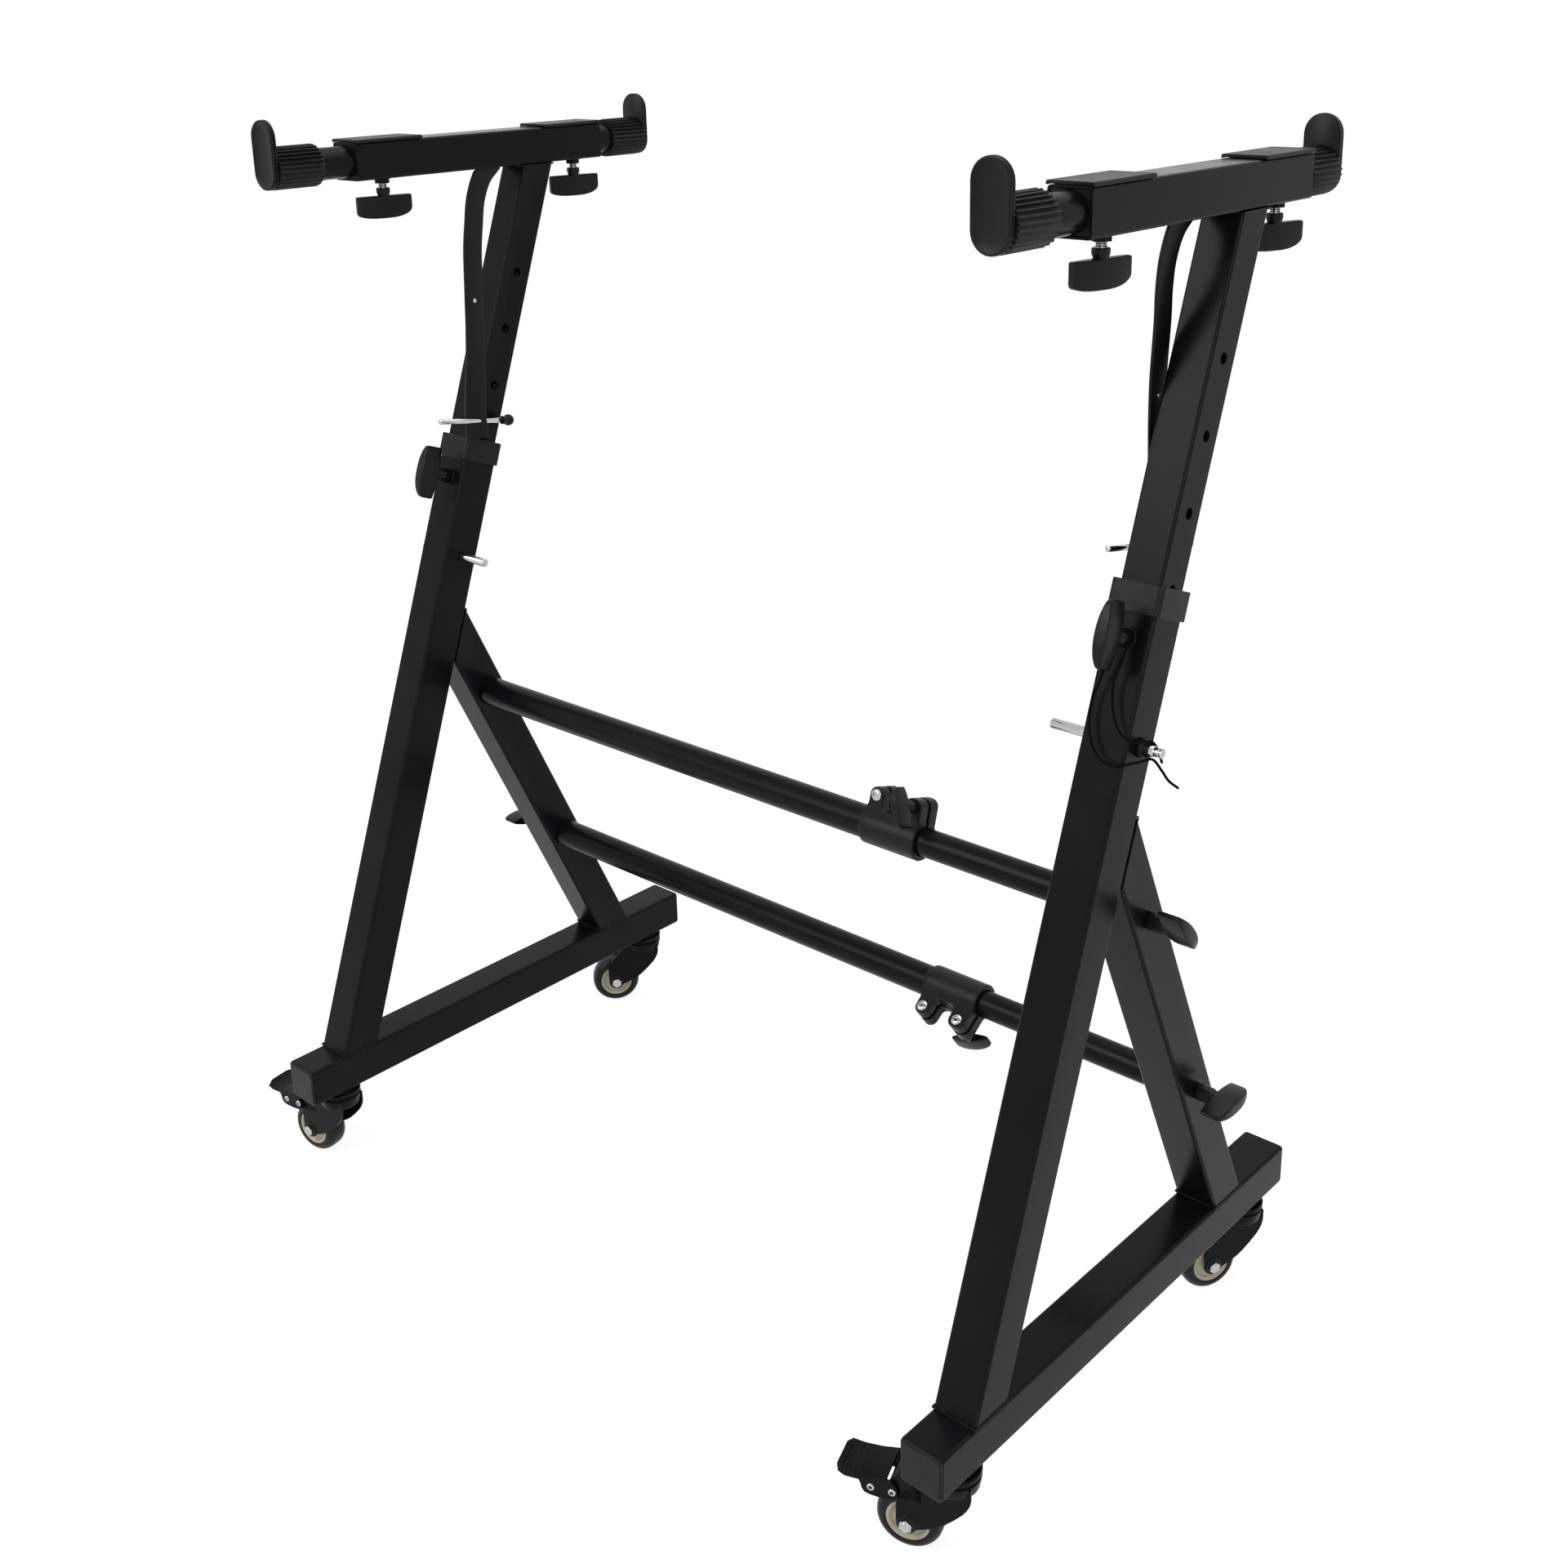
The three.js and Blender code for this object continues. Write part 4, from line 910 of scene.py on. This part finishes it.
def inward_point(side, point):
    dx, y, z = point
    return Vector((-SIDES[side] * dx, MAST_HEAD_Y + y, ARM_BOTTOM_Z + z))


def make_strap(side):
    """A flat belt that hangs from the arm, with its stud and the pin through its lower end."""
    body = side + "_mast"
    path = spline([inward_point(side, p) for p in STRAP_ROUTES[side]], STRAP_STEPS)
    section = rounded_rect(STRAP_WIDTH, STRAP_THICK, 0.9, steps=3)
    top = ARM_BOTTOM_Z - GAP
    rings = []
    frames = []
    for i, centre in enumerate(path):
        tangent = (path[min(i + 1, STRAP_STEPS)] - path[max(i - 1, 0)]).normalized()
        twist = -SIDES[side] * STRAP_TWIST * max(0.0, (i / STRAP_STEPS - 0.6) / 0.4)
        across = Vector((1, 0, 0)).cross(tangent).normalized()
        across = Matrix.Rotation(twist, 3, tangent) @ across
        through = tangent.cross(across).normalized()
        frames.append(basis(across, through, centre))
        ring = [centre + across * a + through * b for a, b in section]
        rings.append([Vector((p.x, p.y, min(p.z, top))) if i < 8 else p for p in ring])
    tip = inward_point(side, STRAP_PINS[side]["tip"])
    head = inward_point(side, STRAP_PINS[side]["head"])
    make(side + "_strap_band", [loft(rings)], BELT, body, SIDE_PLACE[side],
         cutters=[rod(tip, head, 2.8, 20)], angle=50, replaced=side + "_strap")
    stud = lathe([(0, -1.9), (1.6, -1.9), (2.0, -1.5), (2.0, 1.5), (1.6, 1.9), (0, 1.9)], 20)
    make(side + "_strap_stud", [moved(stud, frames[int(STRAP_STEPS * STRAP_STUD_AT)])], STEEL, body,
         SIDE_PLACE[side], angle=30)
    shank = (tip - head).normalized()
    make(side + "_strap_pin_shank", [rod(tip, head + shank * 4, 2.5, 28, rim=0.7)], STEEL, body,
         SIDE_PLACE[side], angle=50, replaced=side + "_strap_pin")
    ball = lathe(arc(0, 0, 5.5, -90, 180, 16), 32)
    neck = lathe([(3.6, 3.4), (4.0, 4.0), (4.0, 8.6), (3.4, 9.4), (2.6, 9.4), (2.6, 3.4)], 28, wrap=True)
    knob = [moved(shape, basis((1, 0, 0), shank, head)) for shape in (ball, neck)]
    make(side + "_strap_pin_ball", knob, PLASTIC, body, SIDE_PLACE[side], angle=40)


def make_through_pin(side):
    """The pin that locks the mast: a shank, a grooved head and a rubber ring against the tube."""
    body = side + "_height_pin"
    way = SIDES[side]
    axis = on_upright(THROUGH_PIN_AT, TUBE / 2)
    tip, end = [corner.x - frame_x[side] for corner in box_mm(body)][::way]
    shank = rod((tip, *axis), (end - way * 6.5, *axis), 4, 40, rim=0.9)
    make(side + "_pin_shank", [shank], STEEL, body, SIDE_PLACE[side], angle=50, replaced=body)
    place = SIDE_PLACE[side] @ basis((0, 1, 0), (way, 0, 0), (0, *axis))
    head = lathe([(r, abs(end) - back) for r, back in
                  ((0, 7), (3.5, 7), (3.5, 3.4), (3.1, 3.0), (3.1, 2.2), (3.7, 1.8), (3.7, 0.8),
                   (3.0, 0.1), (0, 0.1))], 40)
    make(side + "_pin_head", [head], STEEL, body, place, bevel=0.2)
    ring = lathe([(r, TUBE / 2 + out) for r, out in
                  ((4.05, 0.4), (7.0, 0.4), (7.2, 1.2), (7.0, 3.4), (5.6, 4.6), (5.6, 8.2), (5.0, 9.0),
                   (4.05, 9.0))], 40, wrap=True)
    make(side + "_pin_ring", [ring], RUBBER, body, place, bevel=0.5)


# ---------------- casters
WHEEL_RADIUS = 26.0
WHEEL_WIDTH = 22.5
LEG_IN = WHEEL_WIDTH / 2 + 1
FORK_THICK = 2.2
LEG_OUT = LEG_IN + FORK_THICK
LEG_ROUND = 8.3
RACE_RADIUS = 20.5
RACE_LOW = BEAM_FOOT_Z - 9.3
AXLE_HEAD = 4.0
PEDAL_PIVOT = (42.5, 54.4)
PEDAL_HALF = 17.5
RIVET_STEP = 16.5
LUG_HALF = 6.0
# The height above the underside of the race, thickness and radius of each of its three rings.
RACE_RINGS = ((0.0, 2.2, 19.4), (2.3, 3.6, RACE_RADIUS), (6.0, 2.9, 17.4))
# Outlines in x and z: x from the swivel axis towards the wheel, z from the floor.
FORK_ROOF = [(16, 70.6), (30.5, 70.4), (39, 67.8), (44.4, 63.6), (46.2, 60.0), (46.0, 55.4),
             (44.2, 55.4), (44.0, 59.6), (42.6, 62.4), (38, 65.4), (29.5, 68.0), (16, 68.2)]
PEDAL_TOP = [(47.5, 64.5), (55, 63), (64, 61.9), (74, 61.3), (81, 62.2), (86.5, 64.4)]
PEDAL_STEPS = 40
PEDAL_CHEEK = [(37.6, 50.5), (38.8, 48.8), (42, 47.4), (48, 46.8), (53.5, 46.8), (60, 47.3), (64.2, 48.6),
               (66.2, 51.6), (67.2, 56), (68.6, 58.4), (74, 58.3), (79.5, 58.4), (85, 61.6), (74, 60.4),
               (60, 61.2), (47.5, 63.5), (42.5, 62.4), (39.5, 60)]


def caster_place(side, end):
    swivel = joint_at(f"{side}_{end}_caster_swivel")
    axle = joint_at(f"{side}_{end}_wheel_roll")
    trail = Vector((axle.x - swivel.x, axle.y - swivel.y, 0))
    return basis(trail, (0, 0, 1), (swivel.x, swivel.y, 0)), trail.length


def make_wheel(side, end, place, trail):
    body = f"{side}_{end}_wheel"
    turned = place @ basis((1, 0, 0), (0, 1, 0), (trail, 0, WHEEL_RADIUS))
    half = WHEEL_WIDTH / 2
    tread = [(17.3, half - 0.5), (18.2, half - 0.05), (20.4, half), (22.4, half - 0.7),
             (24.1, half - 2.2), (25.2, half - 4.0), (25.8, half - 6.0), (WHEEL_RADIUS, half - 8.4)]
    make(body + "_tyre", [lathe(mirrored(tread), 80, wrap=True)], TREAD, body, turned, angle=50,
         replaced=body)
    hub = [(3.3, half - 0.2), (6.5, half - 0.2), (7.5, half - 2.2), (13.2, half - 2.6),
           (14.6, half - 0.7), (15.2, half - 0.3), (16.9, half - 0.3), (17.25, half - 0.7)]
    make(body + "_hub", [lathe(mirrored(hub), 72, wrap=True)], CREAM, body, turned, angle=40)


def leg_outline(trail):
    """The fork's leg, seen from the side: wide under the race, round at the axle."""
    points = [(-16.5, RACE_LOW - 1.4), (-16.5, 61.5), (-15.6, 57.0), (-13.2, 52.0), (-10.0, 47.5),
              (-3.4, 40.5), (3.5, 34.0), (9.0, 30.0), (14.5, 27.0)]
    points += arc(trail, WHEEL_RADIUS, LEG_ROUND, 205, 155, 12)
    return points + [(trail + LEG_ROUND, 42), (trail + 7.2, 47.5), (trail + 3.5, 54),
                     (RACE_RADIUS + 6.5, 64.0), (RACE_RADIUS, RACE_LOW - 1.4)]


def lug_outline():
    """The plate that the brake pedal is riveted to, and its gusset up to the race."""
    x, z = PEDAL_PIVOT
    return [(RACE_RADIUS, z - LUG_HALF), (x, z - LUG_HALF), *arc(x, z, LUG_HALF, -75, 90, 6),
            (x + 4.6, z + 4.6), (x + 2.4, z + 8.6), (x - 3.5, z + 13.1), (x - 12, z + 15.6),
            (RACE_RADIUS, RACE_LOW - 1.6)]


def make_fork(side, end, place, trail):
    body = f"{side}_{end}_caster"
    spans = ((LEG_IN, LEG_OUT), (-LEG_OUT, -LEG_IN))
    plates = [(leg_outline(trail), *span) for span in spans]
    if end == "front":
        plates += [(lug_outline(), *span) for span in spans]
        plates.append((FORK_ROOF, -LEG_OUT + 0.4, LEG_OUT - 0.4))
    legs = [moved(prism(outline, low, high), SIDE_ON) for outline, low, high in plates]
    cup = lathe([(r, RACE_LOW - down) for r, down in
                 ((0, 10.5), (16.8, 10.5), (18.3, 10.0), (19.1, 8.8), (19.9, 4.0), (20.4, 0.6),
                  (19.8, 0.1), (0, 0.1))], 80)
    make(body + "_legs", [*legs, cup], POWDER, body, place, bevel=0.6, segments=3,
         replaced=f"{side}_{end}_caster_fork")

    race = [lathe([(r, RACE_LOW + z + up) for r, up in
                   ((8, 0), (radius - 1.0, 0), (radius, 0.7), (radius, thick - 0.7),
                    (radius - 1.0, thick), (8, thick))], 80, wrap=True) for z, thick, radius in RACE_RINGS]
    stem = rod((0, 0, RACE_LOW + 1.3), (0, 0, BEAM_FOOT_Z + 13), 5, 32)
    make(body + "_race", [*race, stem], POWDER, body, place, angle=35)

    caps = []
    bolt = [rod((trail, -LEG_OUT, WHEEL_RADIUS), (trail, LEG_OUT, WHEEL_RADIUS), 3, 24)]
    for way in (-1, 1):
        out = basis((1, 0, 0), (0, way, 0), (trail, way * LEG_OUT, WHEEL_RADIUS))
        caps.append(moved(lathe([(0, 0.0), (8.0, 0.0), (7.8, 0.5), (6.9, 0.95), (0, 1.1)], 48), out))
        bolt.append(moved(prism(circle(5.4, 6, 0.4), 1.0, AXLE_HEAD - 0.6), out))
        bolt.append(moved(lathe([(0, AXLE_HEAD - 0.7), (3.9, AXLE_HEAD - 0.7), (3.4, AXLE_HEAD),
                                 (0, AXLE_HEAD)], 24), out))
    make(body + "_dust_caps", caps, PLASTIC, body, place, bevel=0.2)
    make(body + "_axle", bolt, STEEL, body, place, bevel=0.3)


def pedal_plate():
    """The tread of the pedal: rounded outer corners, turned-down rims and fine ribs across."""
    line = spline([Vector((x, 0, z)) for x, z in PEDAL_TOP], PEDAL_STEPS)
    rings = []
    for i, point in enumerate(line):
        u = i / PEDAL_STEPS
        half = PEDAL_HALF - 6.5 * max(0.0, (u - 0.8) / 0.2) ** 3
        ahead = line[min(i + 1, PEDAL_STEPS)] - line[max(i - 1, 0)]
        normal = Vector((-ahead.z, 0, ahead.x)).normalized()
        lift = 0.35 if 0.55 < u < 0.95 and i % 4 == 0 else 0.0
        ring = []
        for share in (-1, -0.94, -0.82, -0.5, 0, 0.5, 0.82, 0.94, 1):
            sink = 1.3 * abs(share) ** 6 + (0.0 if abs(share) > 0.85 else 0.35 - lift)
            ring.append(point + Vector((0, half * share, 0)) - normal * sink)
        for share in (1, 0.82, 0.5, 0, -0.5, -0.82, -1):
            sink = 1.1 * abs(share) ** 6 + 1.9
            ring.append(point + Vector((0, (half - 0.15) * share, 0)) - normal * sink)
        rings.append(ring)
    return loft(rings)


def make_pedal(side, place):
    """A folded steel lever over the wheel, riveted to the lugs of the fork."""
    body = side + "_brake_pedal"
    low = LEG_OUT + GAP
    cheeks = [moved(prism(PEDAL_CHEEK, a, b), SIDE_ON) for a, b in ((low, PEDAL_HALF), (-PEDAL_HALF, -low))]
    make(body + "_lever", [pedal_plate(), *cheeks], POWDER, body, place, bevel=0.5, segments=3,
         replaced=body)
    rivet = lathe([(0, -0.4), (3.0, -0.4), (3.0, 0.2), (2.5, 0.8), (1.7, 1.0), (1.45, 0.5), (0, 0.35)], 28)
    core = lathe([(0, 0.3), (1.4, 0.3), (1.3, 0.55), (0, 0.6)], 20)
    x, z = PEDAL_PIVOT
    spots = [basis((1, 0, 0), (0, way, 0), (x + step, way * PEDAL_HALF, z))
             for way in (-1, 1) for step in (0, RIVET_STEP)]
    make(body + "_rivets", [moved(rivet, spot) for spot in spots], STEEL, body, place, angle=40)
    make(body + "_rivet_cores", [moved(core, spot) for spot in spots], PLASTIC, body, place, angle=40)


# ---------------- lanyard
LANYARD_RADIUS = 1.0
LANYARD_STEPS = 260
LANYARD_POINTS = [  # outward of the centre plane, in from the front face, up the upright
    (45, 38, 481), (40, 31, 485), (36.5, 25, 491), (30, 20, 497.6), (27, 10, 495), (25, -2, 492.5),
    (17.5, -6.5, 489), (3, -6.5, 491), (-9, -6.5, 507), (-12.5, -6.5, 528), (-9, -7.6, 546),
    (-6.6, -8.4, 562), (-6.2, -8.4, 577.5), (0, -8.4, 583.8), (6.2, -8.4, 577.5), (5.2, -8.4, 562),
    (2, -7.6, 547), (5, -6.5, 528), (14, -6, 513), (23, -4, 508), (27, 8, 509.5), (28, 19, 509.4),
    (30, 25.5, 504), (33, 29, 496),
]


def make_lanyard():
    def spot(x, d, t):
        y, z = on_upright(t, d)
        return SIDE_PLACE["right"] @ Vector((x, y, z))
    path = spline([spot(x, d, t) for x, d, t in LANYARD_POINTS], LANYARD_STEPS)
    cord = raw_object("lanyard_cord", [tube_along(path, lambda i: LANYARD_RADIUS, sides=10)],
                      Matrix.Identity(4))
    cord.data.shade_smooth()
    cord.data.materials.append(CORD)
    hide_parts("right_lanyard")
    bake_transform(cord)


# ---------------- floor and light
FLOOR_SIZE = 28.0  # metres
FLOOR_TONE = 0.86
FLOOR_SEEN_TONE = 0.3
FLOOR_GLOW = 0.85
LAMPS = (  # name, place and width in metres, power in watts
    ("key", (-1.2, -2.6, 2.6), 2.0, 60), ("fill", (2.8, -1.6, 1.8), 1.6, 20),
    ("top", (0.2, 0.8, 3.2), 2.4, 30),
)
LAMP_AIM_Z = 0.5


def seen_directly(tree):
    """1 for the rays of the camera and of mirror and glass, 0 for the rest."""
    rays = node_of(tree, "LightPath").outputs
    most = rays["Is Camera Ray"]
    for name in ("Is Glossy Ray", "Is Transmission Ray"):
        either = node_of(tree, "Math")
        either.operation = "MAXIMUM"
        tree.links.new(most, either.inputs[0])
        tree.links.new(rays[name], either.inputs[1])
        most = either.outputs[0]
    return most


def pick_shader(tree, hidden, seen, out_kind):
    """One shader for the rays that see a surface directly, and another for the light it gives."""
    pick = node_of(tree, "MixShader")
    for socket, source in zip(pick.inputs, (seen_directly(tree), hidden.outputs[0], seen.outputs[0])):
        tree.links.new(source, socket)
    tree.links.new(pick.outputs[0], node_of(tree, out_kind).inputs["Surface"])


def floor_material():
    """A matt floor that looks evenly white where it is seen, and still takes a shadow."""
    material = bpy.data.materials.new("pale_floor")
    material.use_nodes = True
    tree = material.node_tree
    tree.nodes.clear()
    matt = node_of(tree, "BsdfDiffuse", Color=(*[FLOOR_TONE] * 3, 1))
    seen = node_of(tree, "BsdfDiffuse", Color=(*[FLOOR_SEEN_TONE] * 3, 1))
    glow = node_of(tree, "Emission", Color=(1, 1, 1, 1), Strength=FLOOR_GLOW)
    both = node_of(tree, "AddShader")
    tree.links.new(seen.outputs[0], both.inputs[0])
    tree.links.new(glow.outputs[0], both.inputs[1])
    pick_shader(tree, matt, both, "OutputMaterial")
    return material


def make_stage():
    half = FLOOR_SIZE / 2
    mesh = bpy.data.meshes.new("floor")
    mesh.from_pydata([(-half, -half, 0), (half, -half, 0), (half, half, 0), (-half, half, 0)], [],
                     [(0, 1, 2, 3)])
    mesh.materials.append(floor_material())
    new_object("floor", mesh)

    world = bpy.data.worlds.new("studio")
    world.use_nodes = True
    tree = world.node_tree
    tree.nodes.clear()
    soft = node_of(tree, "Background", Color=(0.95, 0.97, 1.0, 1), Strength=0.55)
    seen = node_of(tree, "Background", Color=(1, 1, 1, 1), Strength=1.0)
    pick_shader(tree, soft, seen, "OutputWorld")
    bpy.context.scene.world = world

    for name, place, width, power in LAMPS:
        data = bpy.data.lights.new(name, "AREA")
        data.shape = "SQUARE"
        data.size = width
        data.energy = power
        lamp = new_object(name, data)
        lamp.location = place
        aim = Vector((0, 0, LAMP_AIM_Z)) - lamp.location
        lamp.rotation_mode = "QUATERNION"
        lamp.rotation_quaternion = aim.to_track_quat("-Z", "Y")


# ---------------- the whole stand
make_camera()
make_lanyard()
make_stage()
for side in SIDES:
    make_base_beam(side)
    make_upright(side)
    make_brace(side)
    make_collar(side)
    make_mast(side)
    make_arm(side)
    make_strap(side)
    make_through_pin(side)
    make_side_knobs(side)
    for end in ENDS:
        make_extension(side, end)
        caster, trail = caster_place(side, end)
        make_wheel(side, end, caster, trail)
        make_fork(side, end, caster, trail)
        if end == "front":
            make_pedal(side, caster)
for level in BAR_AT:
    make_bar(level)
    make_clamp(level)

bpy.context.scene.view_settings.view_transform = "Standard"
